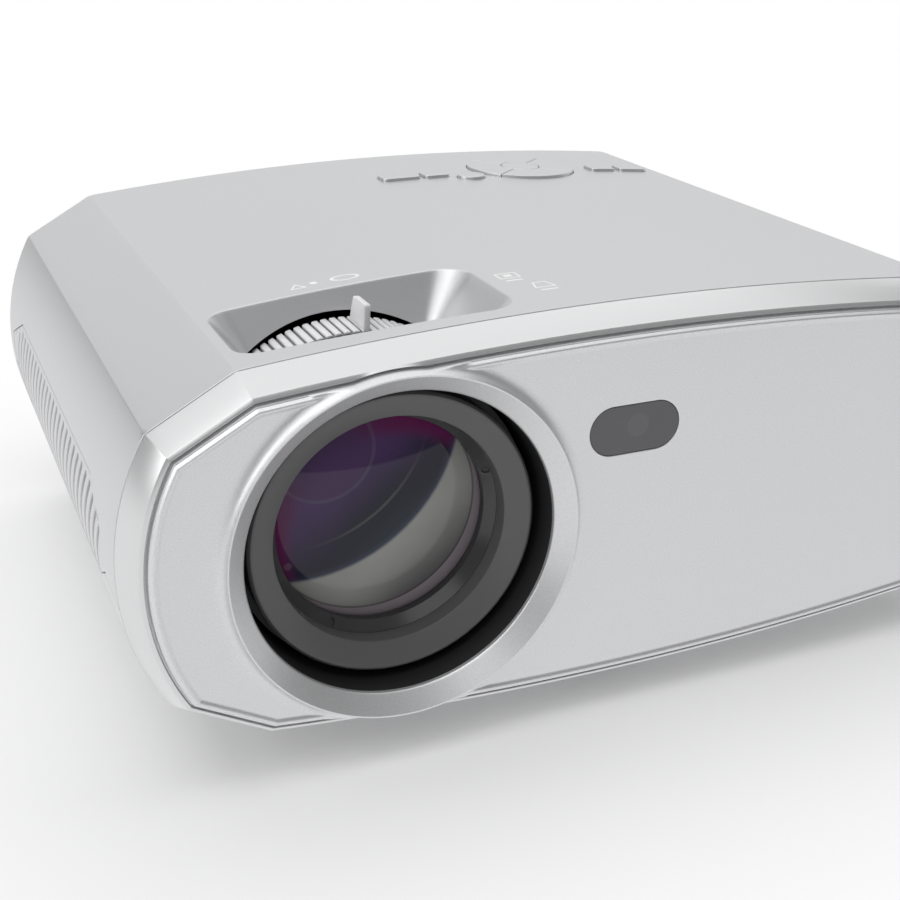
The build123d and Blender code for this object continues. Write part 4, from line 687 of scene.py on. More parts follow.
def build_bezel(finish):
    """The bezel: one closed profile of (inset, depth) carried round the body's outline. Its lip and
    flange are swollen to circles about the lens."""
    scene = bpy.context.scene
    body, front, lens = scene.projector_body, scene.projector_front, scene.projector_lens
    lip = front.band_inset + front.lip_inset
    lip_circle, flange_circle = lens.foot + front.gap, 55.5 * MM
    flange_thickness, wall = 1.5 * MM, 1.4 * MM
    back = front.seat - flange_thickness
    profile = np.array([
        (0, 0, 0),
        (front.band_inset, -front.band_depth, 0),
        (lip, -front.band_depth - front.lip_depth, lip_circle),
        (lip, -front.seat, lip_circle),
        (lip + front.flange, -front.seat, flange_circle),
        (lip + front.flange, -back, flange_circle),
        (front.band_inset + wall, -back, lip_circle),
        (body.wall, 0, 0),
    ])
    loops = [upright(swell(body_loop(body, inset), lens.centre, swollen), depth)
             for arc, swollen in zip(soften(profile[:, :2], 0.3 * MM), profile[:, 2]) for inset, depth in arc]
    make_piece("front_bezel", [band(loops + loops[:1])], finish, "housing", 25.0)


def body_inset(body, x, z):
    """How far in from the outline a point lies: the least distance to its crown, chamfer and bulge."""
    x, z = np.abs(x), np.abs(z)
    crown_radius, bulge_radius = bow_radius(body.shoulder, body.crown), bow_radius(body.cheek, body.bulge)
    crown = crown_radius - np.hypot(x, z - body.height / 2 + crown_radius)
    bulge = bulge_radius - np.hypot(np.maximum(x - body.width / 2 + bulge_radius, 0), z)
    start, along = chamfer_line(body)
    chamfer = -((x - start[0]) * along[1] - (z - start[1]) * along[0])
    return np.minimum(np.minimum(crown, bulge), chamfer)


def soft_step(value, low, high):
    """Smooth rise from 0 at low to 1 at high."""
    share = np.clip((value - low) / (high - low), 0, 1)
    return share * share * (3 - 2 * share)


def panel_height(body, front, lens, x, z):
    """How far the front panel stands ahead of the parting line: a bevel and a raised border by the
    distance in from the outline, a sunk face, and by the radius a fillet, a crest and a funnel."""
    border_height = front.seat + front.thickness
    face_height = border_height - front.sink
    q = body_inset(body, x, z) - front.band_inset - front.lip_inset - front.gap
    steep, straight, curved = 1.9, 0.6 * MM, 1.5 * MM
    plate = border_height - steep * np.clip(curved - q, 0, curved - straight) ** 2 / (2 * (curved - straight))
    plate = plate - steep * np.maximum(straight - q, 0)
    plate = plate - front.sink * soft_step(q, 1.7 * MM, front.border + 0.4 * MM)
    r = np.hypot(x - lens.centre, z)
    rise, run = lens.reach - face_height, lens.fillet - lens.crest
    curve = bow_radius(run, rise)
    fillet = face_height + curve - np.sqrt(curve**2 - np.clip(lens.fillet - r, 0, run) ** 2)
    fillet = fillet - soft_step(r, lens.fillet - 0.5 * MM, lens.fillet) * front.sink
    blend = 0.3 * MM
    share = np.clip(0.5 + (fillet - plate) / (2 * blend), 0, 1)
    outside = plate * (1 - share) + fillet * share + blend * share * (1 - share)
    inner_crest = lens.crest - lens.crest_width
    slope = (lens.reach - lens.throat_depth) / (inner_crest - lens.throat)
    funnel = lens.reach - (inner_crest - r) * slope
    return np.where(r > lens.crest, outside, np.where(r > inner_crest, lens.reach, funnel))


def broken(ring, keep):
    """The stretches of a closed ring whose points are kept, as open lines."""
    if keep.all():
        return [np.concatenate([ring, ring[:1]])]
    first = int(np.argmin(keep))
    ring, keep = np.roll(ring, -first, axis=0), np.roll(keep, -first)
    cuts = np.flatnonzero(np.diff(keep.astype(int))) + 1
    return [run for run, kept in zip(np.split(ring, cuts), np.split(keep, cuts)) if kept[0] and len(run) > 1]


def build_panel(finish):
    """The front panel: its height over the parting line is a function of x and height, worked out on
    rings that follow its outline and circles about the lens."""
    scene = bpy.context.scene
    body, front, lens = scene.projector_body, scene.projector_front, scene.projector_lens
    rim = front.band_inset + front.lip_inset + front.gap
    seat, face = -front.seat, -(front.seat + front.thickness - front.sink)
    ledge, ledge_back, window_gap = face + front.window_thickness, -1.65 * MM, 0.3 * MM

    def outline(back):
        return swell(body_loop(body, rim + back), lens.centre, lens.foot - back)

    def stand(points):
        return upright(points, -panel_height(body, front, lens, points[:, 0], points[:, 1]))

    throat = circle(lens.centre, 0, lens.throat, 240)
    width, height = front.window_length + window_gap, front.window_height + window_gap
    window = opening(rectangle(front.window_x, front.window_z, width, height),
                     front.window_height / 2 + 0.149 * MM, 0.8 * MM, 16)
    parts = []
    for shape, first, top, softened in ((outline, 0.25, outline(0.02 * MM), ((0.08, 0.06), (0, 0.22))),
                                        (throat, 0.3, throat(0), ((0.06, 0.05), (0, 0.25)))):
        depth = stand(top)[:, 1]
        loops = [upright(shape(back * MM), depth + sink * MM) for back, sink in softened]
        parts.append(band([stand(shape(first * MM)), *loops, upright(shape(0), seat)]))
    window_rows = ((0.5 * MM, face), (0.2 * MM, face), (0.05 * MM, face + 0.05 * MM),
                   (0, face + 0.2 * MM), (0, ledge), (ledge_back, ledge), (ledge_back, seat))
    parts.append(band([upright(window(back), depth) for back, depth in window_rows]))
    lines = []
    for back in (0.4, 0.6, 0.8, 1.0, 1.2, 1.4, 1.7, 2.0, 2.3, 2.6, 2.9, 3.2, 3.6):
        ring = body_loop(body, rim + back * MM)
        lines += broken(ring, np.hypot(ring[:, 0] - lens.centre, ring[:, 1]) > lens.crest + 0.5 * MM)
    outer_radii = (56.3, 56.55, 56.8, 57.05, 57.4, 57.8, 58.3, 59.0, 59.8, 60.6, 61.1, 61.8)
    for radius in (*np.linspace(51.2, 56.1, 9), *outer_radii):
        turn = circle(lens.centre, 0, radius * MM, 300)(0)
        room = body_inset(body, turn[:, 0], turn[:, 1]) > rim + 0.45 * MM
        lines += broken(turn, room | (radius * MM < lens.foot - 0.4 * MM))
    face_loops = [outline(0.25 * MM), throat(0.3 * MM), window(0.5 * MM)]
    seat_loops = [outline(0), throat(0), window(ledge_back)]
    parts.append(sheet_of(face_loops, 5 * MM, stand, lines))
    parts.append(sheet_of(seat_loops, 9 * MM, lambda flat: upright(flat, seat), under=True))
    make_piece("front_panel", parts, finish, "housing", 30.0)


def build_window(finish):
    """The sensor window: a stadium with a faintly crowned face and a rounded rim, closed to a middle."""
    front = bpy.context.scene.projector_front
    shape = opening(rectangle(front.window_x, front.window_z, front.window_length, front.window_height),
                    front.window_height / 2 - 0.001 * MM, 0.8 * MM, 16)
    face = -(front.seat + front.thickness - front.sink)
    rear = face + front.window_thickness
    x, z = front.window_x, front.window_z
    loops = [upright((x, z) + (shape(0) - (x, z)) * share, face + (0.12 - crown) * MM)
             for share, crown in ((0.15, 0.118), (0.4, 0.1), (0.6, 0.08), (0.85, 0.04))]
    loops += [upright(shape(back * MM), face + sink * MM)
              for back, sink in ((-0.3, 0.12), (-0.15, 0.16), (-0.04, 0.27), (0, 0.4))]
    loops.append(upright(shape(0), rear))
    make_piece("sensor_window", capped(loops, (x, face, z), (x, rear, z)), finish, "housing")


# Turned pieces

def turned(rows, angle):
    """Rows of (radius, depth) turned about the lens axis; a radius may differ from angle to angle."""
    centre = bpy.context.scene.projector_lens.centre
    return [np.stack([centre + r * np.cos(angle), np.full(len(angle), d), r * np.sin(angle)], axis=1)
            for r, d in rows]


def turned_piece(profile, radius):
    """A closed profile of (radius, depth) in millimetres, softened and turned about the lens axis."""
    loops = turned(soften(np.array(profile) * MM, radius).reshape(-1, 2), around(240))
    return band(loops + loops[:1])


def glass_piece(radius, edge, front_bow, rear_bow, steps=22):
    """A lens: two spherical caps joined by a ground rim. A cap's depth falls by bow times the square of
    the radius's share, near enough a sphere at these bows."""
    share = np.linspace(1 / steps, 1, steps)
    front = np.stack([share * radius, edge[0] - front_bow * (1 - share**2)], axis=1)
    rear = np.stack([share[::-1] * radius, edge[1] + rear_bow * (1 - share[::-1] ** 2)], axis=1)
    loops = turned(np.concatenate([front, rear]) * MM, around(160))
    centre = bpy.context.scene.projector_lens.centre
    return capped(loops, (centre, (edge[0] - front_bow) * MM, 0), (centre, (edge[1] + rear_bow) * MM, 0))


def build_retaining_ring(finish):
    """The ring that holds the front glass: a turned section with a conical face, and two shallow notches
    sunk in it. The face is a sheet between two circles whose depth follows the cone, closed by walls and
    a floor at each notch."""
    lens = bpy.context.scene.projector_lens
    inner, outer, front, back, bore_back = np.array((35.2, 38.5, 6.0, 13.2, 12.2)) * MM
    notch_place, notch_radius, notch_depth = 36.9 * MM, 1.0 * MM, 0.8 * MM

    def stand(flat, sink=0.0):
        r = np.hypot(flat[:, 0] - lens.centre, flat[:, 1])
        return upright(flat, front + 0.15 * MM + outer - r + sink)

    rim, bore, wide = (circle(lens.centre, 0, radius, 200)(0) for radius in (outer - 0.2 * MM, inner, outer))
    parts, sheet = [], [rim, bore]
    for turn in (19.0, -120.0):
        x, z = notch_place * np.array([math.cos(math.radians(turn)), math.sin(math.radians(turn))])
        notch = circle(lens.centre + x, z, notch_radius, 24)
        rows = ((0.15 * MM, 0), (0.04 * MM, 0.04 * MM), (0, 0.15 * MM), (0, notch_depth))
        loops = [stand(notch(wider), sink) for wider, sink in rows]
        parts += [band(loops), fan(loops[-1], loops[-1].mean(axis=0))]
        sheet.append(notch(0.15 * MM))
    parts.append(sheet_of(sheet, 1.6 * MM, stand))
    parts.append(band([stand(rim), stand(wide, 0.2 * MM), upright(wide, back), upright(bore, bore_back),
                       stand(bore)]))
    make_piece("lens_retaining_ring", parts, finish, "barrel")


def build_ring(finish):
    """The focus ring: a turned section whose outer rows follow the ribs, radius less a groove of rounded
    sides between every two ribs, and the tab as a softened slab."""
    lens = bpy.context.scene.projector_lens
    share = np.array([0, 0.03, 0.08, 0.18, 0.36, 0.54, 0.64, 0.69, 0.73, 0.79, 0.86, 0.93])
    fall = np.array([0.55, 0.25, 0.08, 0.01, 0.0, 0.01, 0.08, 0.25, 0.55, 0.95, 1.0, 0.95])
    angle = ((np.arange(lens.ribs)[:, None] + share[None, :]) / lens.ribs * 2 * math.pi).ravel()
    groove = np.tile(fall, lens.ribs) * 1.1 * MM
    front, rear, cheek = lens.ring_front, lens.ring_rear, 2.4 * MM
    outer, bore = lens.ring / MM, lens.ring_bore / MM
    rows = [
        (52.5, front, 0), (53.9, front, 0), (outer - 0.5, front, 1), (outer - 0.15, front + 0.15 * MM, 1),
        (outer, front + 0.5 * MM, 1), (outer, (front + rear) / 2, 1), (outer, rear - 0.5 * MM, 1),
        (outer - 0.15, rear - 0.15 * MM, 1), (outer - 0.5, rear, 1), (53.9, rear, 0), (bore, rear, 0),
        (bore, rear - cheek, 0), (52.4, rear - cheek, 0), (52.4, front + cheek, 0), (bore, front + cheek, 0),
        (bore, front, 0),
    ]
    section = turned([(radius * MM - groove * ribbed, depth) for radius, depth, ribbed in rows], angle)
    lean = math.radians(5.4)
    out = np.array([math.sin(lean), 0, math.cos(lean)])
    across = np.array([math.cos(lean), 0, -math.sin(lean)])
    first = front / MM
    corners = np.array([(first + 14.3, 53.4), (first + 14.3, 55.5), (first + 12.2, 63.6), (first + 0.7, 63.6),
                        (first, 55.5), (first, 53.4)]) * MM

    def slab(flat, sideways):
        return (np.array([lens.centre, 0, 0]) + flat[:, :1] * np.array([0, 1, 0]) + flat[:, 1:] * out
                + sideways * MM * across)

    shape = opening(corners, 0.9 * MM, 2 * MM, 6)
    loops = [slab(shape(back * MM), sideways) for back, sideways in
             ((0.4, -1.1), (0.13, -1.0), (0, -0.7), (0, 0.7), (0.13, 1.0), (0.4, 1.1))]
    middle = corners.mean(axis=0)[None]
    tab = capped(loops, slab(middle, -1.1)[0], slab(middle, 1.1)[0])
    make_piece("focus_ring", [band(section + section[:1])] + tab, finish, "focus", 40.0)


# Grilles and keys

def build_grille(name, side, finish):
    """A side grille: a strip of the bulged side with leaning slots, each clipped where its two long edges
    leave the border."""
    skin = BodySkin(bpy.context.scene.projector_body, 1)
    sheet = np.stack([skin.at_height(GRILLE[:, 0]), GRILLE[:, 1]], axis=1)[::-1]
    sunk, thick, border_width, count = 0.2 * MM, 2.2 * MM, 2.6 * MM, 26
    first, pitch, half_width, half_length, shortest = np.array((31.0, 7.7, 1.3, 22, 2.5)) * MM
    parts, outer, inner = [], [], []

    def place(points, sink):
        return skin.place(points * (side, 1), sink + sunk)

    def join(shape, rows):
        hole = shape(rows[-1][0] * MM)
        parts.append(band([place(shape(back * MM), sink * MM) for back, sink in rows] + [place(hole, thick)]))
        outer.append(shape(rows[0][0] * MM))
        inner.append(hole)

    join(opening(sheet, 0.5 * MM, 2.0 * MM, 3), ((0.9, 0), (0.65, 0), (0.47, 0.07), (0.4, 0.25)))
    lean = math.radians(36.9)
    run = np.array([math.cos(lean), math.sin(lean)])
    normal = np.array([-run[1], run[0]])
    border = sheet + border_width * mitres(sheet)[1]
    ahead = np.roll(border, -1, axis=0) - border
    left = np.stack([-ahead[:, 1], ahead[:, 0]], axis=1)
    speed = left @ run

    def clipped(origin):
        hit = np.sum((border - origin) * left, axis=1) / np.where(np.abs(speed) < 1e-12, 1e-12, speed)
        start = max(np.max(np.where(speed > 0, hit, -1)), -half_length)
        end = min(np.min(np.where(speed < 0, hit, 1)), half_length)
        return origin + run * start, origin + run * end, end - start

    for slot in range(count):
        middle = np.array([skin.at_height(0.0), first + pitch * slot])
        low, high = clipped(middle - normal * half_width), clipped(middle + normal * half_width)
        if min(low[2], high[2]) >= shortest:
            join(opening([high[0], high[1], low[1], low[0]], 0.7 * MM, 3.0 * MM, 3),
                 ((0.45, 0), (0.3, 0), (0.08, 0.08), (0, 0.3)))
    parts.append(sheet_of(outer, 5 * MM, lambda flat: place(flat, 0)))
    parts.append(sheet_of(inner, 5 * MM, lambda flat: place(flat, thick), under=True))
    make_piece(name, parts, finish, "housing")


def build_key(name, corners, radii, dish, finish):
    """A key: its outline carried up from under the cover to a softened edge, and closed over a faintly
    dished top that follows the crown."""
    body = bpy.context.scene.projector_body
    shape = opening(corners[::-1], radii, 1.0 * MM, 6)
    middle = shape(0).mean(axis=0)
    loops = [over_crown(body, middle + (shape(0.4 * MM) - middle) * share, KEY_RISE - dish * (1 - share**2))
             for share in (0.15, 0.35, 0.6, 0.85)]
    loops += [over_crown(body, shape(back * MM), KEY_RISE + lift * MM) for back, lift in KEY_EDGE]
    loops.append(over_crown(body, shape(0), -KEY_DEPTH))
    ends = [over_crown(body, middle[None], lift)[0] for lift in (KEY_RISE - dish, -KEY_DEPTH)]
    make_piece(name, capped(loops, *ends), finish, name[:-4])


def build_quarter(name, turn, finish):
    """A quarter of the pad: between two radii and two lines at 45 degrees, each set back by half a gap.
    Its outline runs along the outer arc and back along the inner one, and its rim is carried down all
    round."""
    body = bpy.context.scene.projector_body
    inner, cleft = 8.8 * MM, 0.3 * MM
    x, y, outer = PAD
    c, s = math.cos(turn), math.sin(turn)

    def loop(back):
        near, far = inner + back, outer - back
        half_near = math.pi / 4 - math.asin(min(1, (cleft + back) / near))
        half_far = math.pi / 4 - math.asin((cleft + back) / far)
        far_arc, near_arc = np.linspace(-half_far, half_far, 28), np.linspace(half_near, -half_near, 28)
        share = np.linspace(0, 1, 12)[1:-1, None]
        a = far * np.stack([np.cos(far_arc), np.sin(far_arc)], axis=1)
        b = near * np.stack([np.cos(near_arc), np.sin(near_arc)], axis=1)
        return np.concatenate([a, a[-1] * (1 - share) + b[0] * share, b, b[-1] * (1 - share) + a[0] * share])

    def lay(flat, lift):
        across, along = flat[:, 0], flat[:, 1]
        placed = np.stack([x + across * c - along * s, y + across * s + along * c], axis=1)
        return over_crown(body, placed, KEY_RISE + lift)

    parts = [band([lay(loop(back * MM), lift * MM) for back, lift in ((0.9, 0), *KEY_EDGE, (0, -6))])]
    for back, lift in ((0.9 * MM, 0), (0, -KEY_DEPTH)):
        parts.append(sheet_of([loop(back)], 2.5 * MM, lambda flat: lay(flat, lift)))
    make_piece(name, parts, finish, name[:-4])


# Finishes

class Nodes:
    """A material's node tree; nodes are made with their inputs given by name or number."""

    def __init__(self, name):
        self.material = bpy.data.materials.new(name)
        self.material.use_nodes = True
        self.tree = self.material.node_tree
        self.shader = self.tree.nodes["Principled BSDF"]
        self.where = self.add("ShaderNodeTexCoord").outputs["Object"]

    def give(self, socket, value):
        if isinstance(value, bpy.types.NodeSocket):
            self.tree.links.new(value, socket)
        else:
            socket.default_value = value

    def add(self, kind, inputs=(), **settings):
        node = self.tree.nodes.new(kind)
        for key, value in settings.items():
            setattr(node, key, value)
        for key, value in dict(inputs).items():
            self.give(node.inputs[key], value)
        return node

    def set(self, **values):
        for key, value in values.items():
            self.give(self.shader.inputs[key.replace("_", " ")], value)

    def noise(self, scale, detail=2.0, rough=0.5):
        inputs = {"Vector": self.where, "Scale": scale, "Detail": detail, "Roughness": rough}
        return self.add("ShaderNodeTexNoise", inputs).outputs["Fac"]

    def ramp(self, value, low, high):
        inputs = {"Value": value, "To Min": low, "To Max": high}
        return self.add("ShaderNodeMapRange", inputs).outputs["Result"]

    def step(self, value, start, end):
        """Smooth rise from 0 at start to 1 at end; it falls where start is the greater."""
        inputs = {"Value": value, "From Min": start, "From Max": end}
        return self.add("ShaderNodeMapRange", inputs, interpolation_type="SMOOTHSTEP").outputs["Result"]

    def math(self, operation, first, second=0.0):
        return self.add("ShaderNodeMath", {0: first, 1: second}, operation=operation).outputs[0]

    def times(self, first, second):
        return self.math("MULTIPLY", first, second)

    def vector(self, operation, first, second=(0, 0, 0), third=None):
        made = self.add("ShaderNodeVectorMath", {0: first, 1: second}, operation=operation)
        if third is not None:
            self.give(made.inputs[2], third)
        single = operation in ("DISTANCE", "DOT_PRODUCT", "LENGTH")
        return made.outputs["Value" if single else "Vector"]

    def millimetres(self, scale, shift):
        """The place in millimetres, scaled by 1000 or by 0 along each axis and then shifted."""
        return self.vector("MULTIPLY_ADD", self.where, scale, shift)

    def mix(self, share, first, second):
        return self.add("ShaderNodeMix", {0: share, 6: first, 7: second}, data_type="RGBA").outputs[2]

    def bump(self, height, strength, distance):
        made = self.add("ShaderNodeBump", {"Height": height, "Strength": strength, "Distance": distance})
        self.set(Normal=made.outputs["Normal"])

    def oval(self, flat, centre, reach):
        """Distance from a centre as a share of the oval's reach: 1 on its line."""
        moved = self.vector("SUBTRACT", flat, centre + (0,))
        return self.vector("LENGTH", self.vector("DIVIDE", moved, reach + (1,)))

    def figure(self, flat, corners):
        """Signed distance to a convex figure run counterclockwise: the greatest of those to its sides."""
        value = None
        for a, b in zip(corners, corners[1:] + corners[:1]):
            out = Vector((b[1] - a[1], a[0] - b[0])).normalized()
            along = self.vector("DOT_PRODUCT", flat, (out.x, out.y, 0))
            side = self.math("SUBTRACT", along, out.dot(Vector(a)))
            value = side if value is None else self.math("MAXIMUM", value, side)
        return value

    def line(self, value, middle, half):
        """1 on a thin line where the value is at its middle, and 0 off it."""
        away = self.math("ABSOLUTE", self.math("SUBTRACT", value, middle))
        return self.step(away, half * 1.3, half * 0.7)


def shade(colour, factor):
    """A colour made lighter or darker, with its alpha."""
    return tuple(min(1.0, c * factor) for c in colour[:3]) + (1.0,)


def moulded(name, colour, rough, grain=0.02, scale=1800.0):
    """Moulded plastic: a fine spark-eroded grain and slow changes of tone and of gloss."""
    nodes = Nodes(name)
    slow = nodes.noise(18.0, 3.0)
    nodes.set(Base_Color=nodes.mix(slow, shade(colour, 0.95), shade(colour, 1.05)))
    nodes.set(Roughness=nodes.ramp(slow, rough - 0.04, rough + 0.04))
    nodes.bump(nodes.noise(scale, 2.0, 0.6), grain, 0.05 * MM)
    return nodes.material


def silver(name, colour, rough, fleck, grain=0.02, marks=None):
    """Silver paint: flakes finer than a tenth of a millimetre over slow changes of tone, with printed
    marks."""
    nodes = Nodes(name)
    flake = nodes.noise(2600.0, 1.0)
    tone = nodes.mix(flake, shade(colour, 1 - fleck), shade(colour, 1 + fleck))
    tone = nodes.mix(nodes.ramp(nodes.noise(5.0, 1.0), 0, 0.12), tone, shade(colour, 0.85))
    metal_share = 0.72
    if marks:
        printed = marks(nodes)
        tone = nodes.mix(printed, tone, (0.86, 0.86, 0.86, 1.0))
        metal_share = nodes.ramp(printed, metal_share, 0)
    nodes.set(Base_Color=tone, Metallic=metal_share)
    nodes.set(Roughness=nodes.ramp(nodes.noise(5.0, 1.0), rough - 0.02, rough + 0.02))
    nodes.bump(nodes.noise(1500.0, 2.0), grain, 0.04 * MM)
    return nodes.material


def cover_marks(nodes):
    """Printed marks on the top cover, in millimetres of x and depth: a triangle, a dot and a loop behind
    the recess, and two small pictures of a screen beside it."""
    flat = nodes.millimetres((1000, 1000, 0), (0, -PARTING_Y / MM, 0))
    outlined = (
        [(-89.9, 62.3), (-84.9, 62.3), (-87.4, 66.6)],
        [(-25.5, 37.0), (-18.5, 37.0), (-18.5, 42.5), (-25.5, 42.5)],
        [(-19.5, 23.0), (-12.5, 23.0), (-13.8, 28.5), (-18.2, 28.5)],
    )
    filled = (
        [(-23.4, 38.6), (-20.6, 38.6), (-20.6, 40.9), (-23.4, 40.9)],
        [(-19.0, 19.6), (-13.0, 19.6), (-13.0, 20.6), (-19.0, 20.6)],
        [(-25.0, 33.6), (-19.0, 33.6), (-19.0, 34.6), (-25.0, 34.6)],
    )
    marks = [nodes.line(nodes.figure(flat, corners), 0, 0.3) for corners in outlined]
    marks += [nodes.step(nodes.figure(flat, corners), 0.2, -0.2) for corners in filled]
    marks.append(nodes.step(nodes.oval(flat, (-81.4, 65.2), (1.3, 1.3)), 1.2, 0.8))
    printed = nodes.line(nodes.oval(flat, (-70.4, 65.4), (4.6, 2.6)), 1, 0.13)
    for mark in marks:
        printed = nodes.math("MAXIMUM", printed, mark)
    height = nodes.add("ShaderNodeSeparateXYZ", {0: nodes.where}).outputs["Z"]
    return nodes.times(printed, nodes.step(height, 0.13, 0.132))


def ribbed(name, colour, lens):
    """Pale plastic with painted shade in its grooves: points that their distance from the axis places in a
    groove are painted dark grey.
    """
    nodes = Nodes(name)
    across = nodes.millimetres((1000, 0, 1000), (-lens.centre / MM, 0, -MIDDLE_Z / MM))
    radius, top = nodes.vector("LENGTH", across), lens.ring / MM
    pale = nodes.mix(nodes.noise(40.0), shade(colour, 0.97), shade(colour, 1.03))
    # painted shade: below the ribs' tops the grooves are painted dark grey, standing in for the shade between
    # the ribs
    nodes.set(Base_Color=nodes.mix(nodes.step(radius, top - 0.95, top - 0.2), shade(colour, 0.28), pale))
    nodes.set(Roughness=0.4)
    nodes.bump(nodes.noise(1500.0), 0.02, 0.05 * MM)
    return nodes.material


def smoked(name, colour, front):
    """Smoked window: dark and glossy, with the receiver's eye showing faintly through it."""
    nodes = Nodes(name)
    flat = nodes.millimetres((1000, 0, 1000), (0, 0, -MIDDLE_Z / MM))
    eye = nodes.vector("DISTANCE", flat, (front.window_x / MM + 1.0, 0, front.window_z / MM + 1.0))
    tone = nodes.mix(nodes.noise(60.0), shade(colour, 0.9), shade(colour, 1.1))
    nodes.set(Base_Color=nodes.mix(nodes.step(eye, 4.4, 3.4), tone, shade(colour, 1.16)), Roughness=0.12)
    return nodes.material


def metal(name, colour, rough):
    """Plated or bare metal with fine scuffs."""
    nodes = Nodes(name)
    scuff = nodes.noise(400.0, 5.0, 0.7)
    nodes.set(Base_Color=nodes.mix(scuff, shade(colour, 0.9), shade(colour, 1.05)), Metallic=1.0)
    nodes.set(Roughness=nodes.ramp(scuff, rough - 0.08, rough + 0.1))
    return nodes.material


def glass(name, colour):
    """Polished glass with the faintest dust."""
    nodes = Nodes(name)
    dust = nodes.ramp(nodes.noise(900.0, 4.0), 0.0, 0.04)
    nodes.set(Base_Color=shade(colour, 1.0), Roughness=dust, Transmission_Weight=1.0, IOR=1.5)
    return nodes.material


def coated_lens(name, colour, lens):
    """The coated front glass over the dark barrel, with reflections painted into its colour. Its colour is
    laid down in millimetres across the glass, on a plane a little inside it that the point is carried to
    along a slanted line: painted reflections of purple towards one side, deep blue and green to the
    other, magenta at the rim, fine pale arcs and the bright crescent that the rear faces reflect, with
    painted shade along part of the glass's edge."""
    nodes = Nodes(name)
    moved = nodes.millimetres((1000, 1000, 1000), (-lens.centre / MM, -PARTING_Y / MM - 10.0, -MIDDLE_Z / MM))
    deep = nodes.add("ShaderNodeSeparateXYZ", {0: moved}).outputs["Y"]
    slant = {axis: nodes.times(deep, slope) for axis, slope in enumerate((-0.356, -1.0, 0.508))}
    flat = nodes.vector("ADD", moved, nodes.add("ShaderNodeCombineXYZ", slant).outputs[0])

    def away(x, z):
        return nodes.vector("DISTANCE", flat, (x, 0, z))

    wander = nodes.times(nodes.math("SUBTRACT", nodes.noise(60.0, 1.0), 0.5), 6.0)
    along = nodes.math("ADD", nodes.vector("DOT_PRODUCT", flat, (0.6, 0, -0.8)), wander)
    sideways = nodes.math("ABSOLUTE", nodes.vector("DOT_PRODUCT", flat, (0.8, 0, 0.6)))
    # painted reflections: a faint ghost disc, a magenta rim, a pale arc and a thin arc laid over the coating's
    # purple
    ghost_reflection = nodes.step(away(-18.5, 26.2), 16.9, 15.6)
    rim = nodes.times(nodes.step(away(3.4, -6.3), 32.0, 38.4), nodes.step(sideways, 6.0, 26.0))
    arc = nodes.times(nodes.line(away(-27.7, 39.7), 45.1, 0.5), nodes.step(along, -14.0, 8.0))
    thread_reflection = nodes.line(away(-18.5, 26.2), 16.5, 0.6)
    # painted reflection: the bright crescent that the rear faces reflect, edged by pale and dark rings
    inner, outer = away(-26.3, 37.2), away(-4.0, 5.6)
    pale = nodes.mix(nodes.step(along, 8.0, 34.0), (0.34, 0.35, 0.33, 1.0), (0.1, 0.105, 0.1, 1.0))
    pale = nodes.mix(nodes.step(outer, 35.7, 36.2), pale, (0.3, 0.27, 0.29, 1.0))
    pale = nodes.mix(nodes.times(nodes.line(outer, 35.7, 0.35), 0.6), pale, (0.07, 0.06, 0.055, 1.0))
    # painted shade: a dark band along part of the glass's edge
    edge = nodes.times(nodes.step(away(-2.0, 2.6), 36.7, 37.3), nodes.step(along, -4.0, 4.0))
    # a small pinkish spot
    pink_spot = nodes.step(away(-31.7, -10.6), 1.6, 1.0)
    # painted reflection: the coating's purple sheen where the glass is seen at a grazing angle
    grazing_sheen = nodes.add("ShaderNodeLayerWeight", {"Blend": 0.2}).outputs["Facing"]
    tone = shade(colour, 1.0)
    # the layers paint the reflections and the edge shade over the coating's purple, one after another
    for share, layer in (
        (nodes.step(along, -24.0, -2.0), (0.015, 0.018, 0.032, 1.0)),
        (nodes.step(along, -2.0, 14.0), (0.017, 0.04, 0.043, 1.0)),
        (nodes.times(ghost_reflection, 0.3), (0.09, 0.05, 0.1, 1.0)),
        (rim, (0.15, 0.016, 0.1, 1.0)),
        (nodes.times(arc, 0.55), (0.2, 0.19, 0.17, 1.0)),
        (nodes.times(thread_reflection, 0.16), (0.2, 0.21, 0.27, 1.0)),
        (nodes.times(nodes.step(inner, 51.0, 53.8), 0.5), (0.06, 0.07, 0.13, 1.0)),
        (nodes.step(inner, 53.0, 54.6), pale),
        (edge, (0.03, 0.03, 0.036, 1.0)),
        (nodes.times(pink_spot, 0.6), (0.2, 0.13, 0.16, 1.0)),
        (nodes.times(grazing_sheen, 0.3), (0.2, 0.05, 0.2, 1.0)),
    ):
        tone = nodes.mix(share, tone, layer)
    nodes.set(Base_Color=tone, Roughness=0.05, Specular_IOR_Level=0.25)
    return nodes.material


def board_finish(name):
    """Green solder mask with a faint pattern of tracks."""
    nodes = Nodes(name)
    inputs = {"Vector": nodes.where, "Scale": 260.0, "Mortar Size": 0.03}
    colours = {"Color1": (0.01, 0.09, 0.04, 1), "Color2": (0.012, 0.11, 0.045, 1)}
    tracks = nodes.add("ShaderNodeTexBrick", {**inputs, **colours, "Mortar": (0.03, 0.2, 0.08, 1)})
    nodes.set(Base_Color=tracks.outputs["Color"], Roughness=0.3)
    return nodes.material


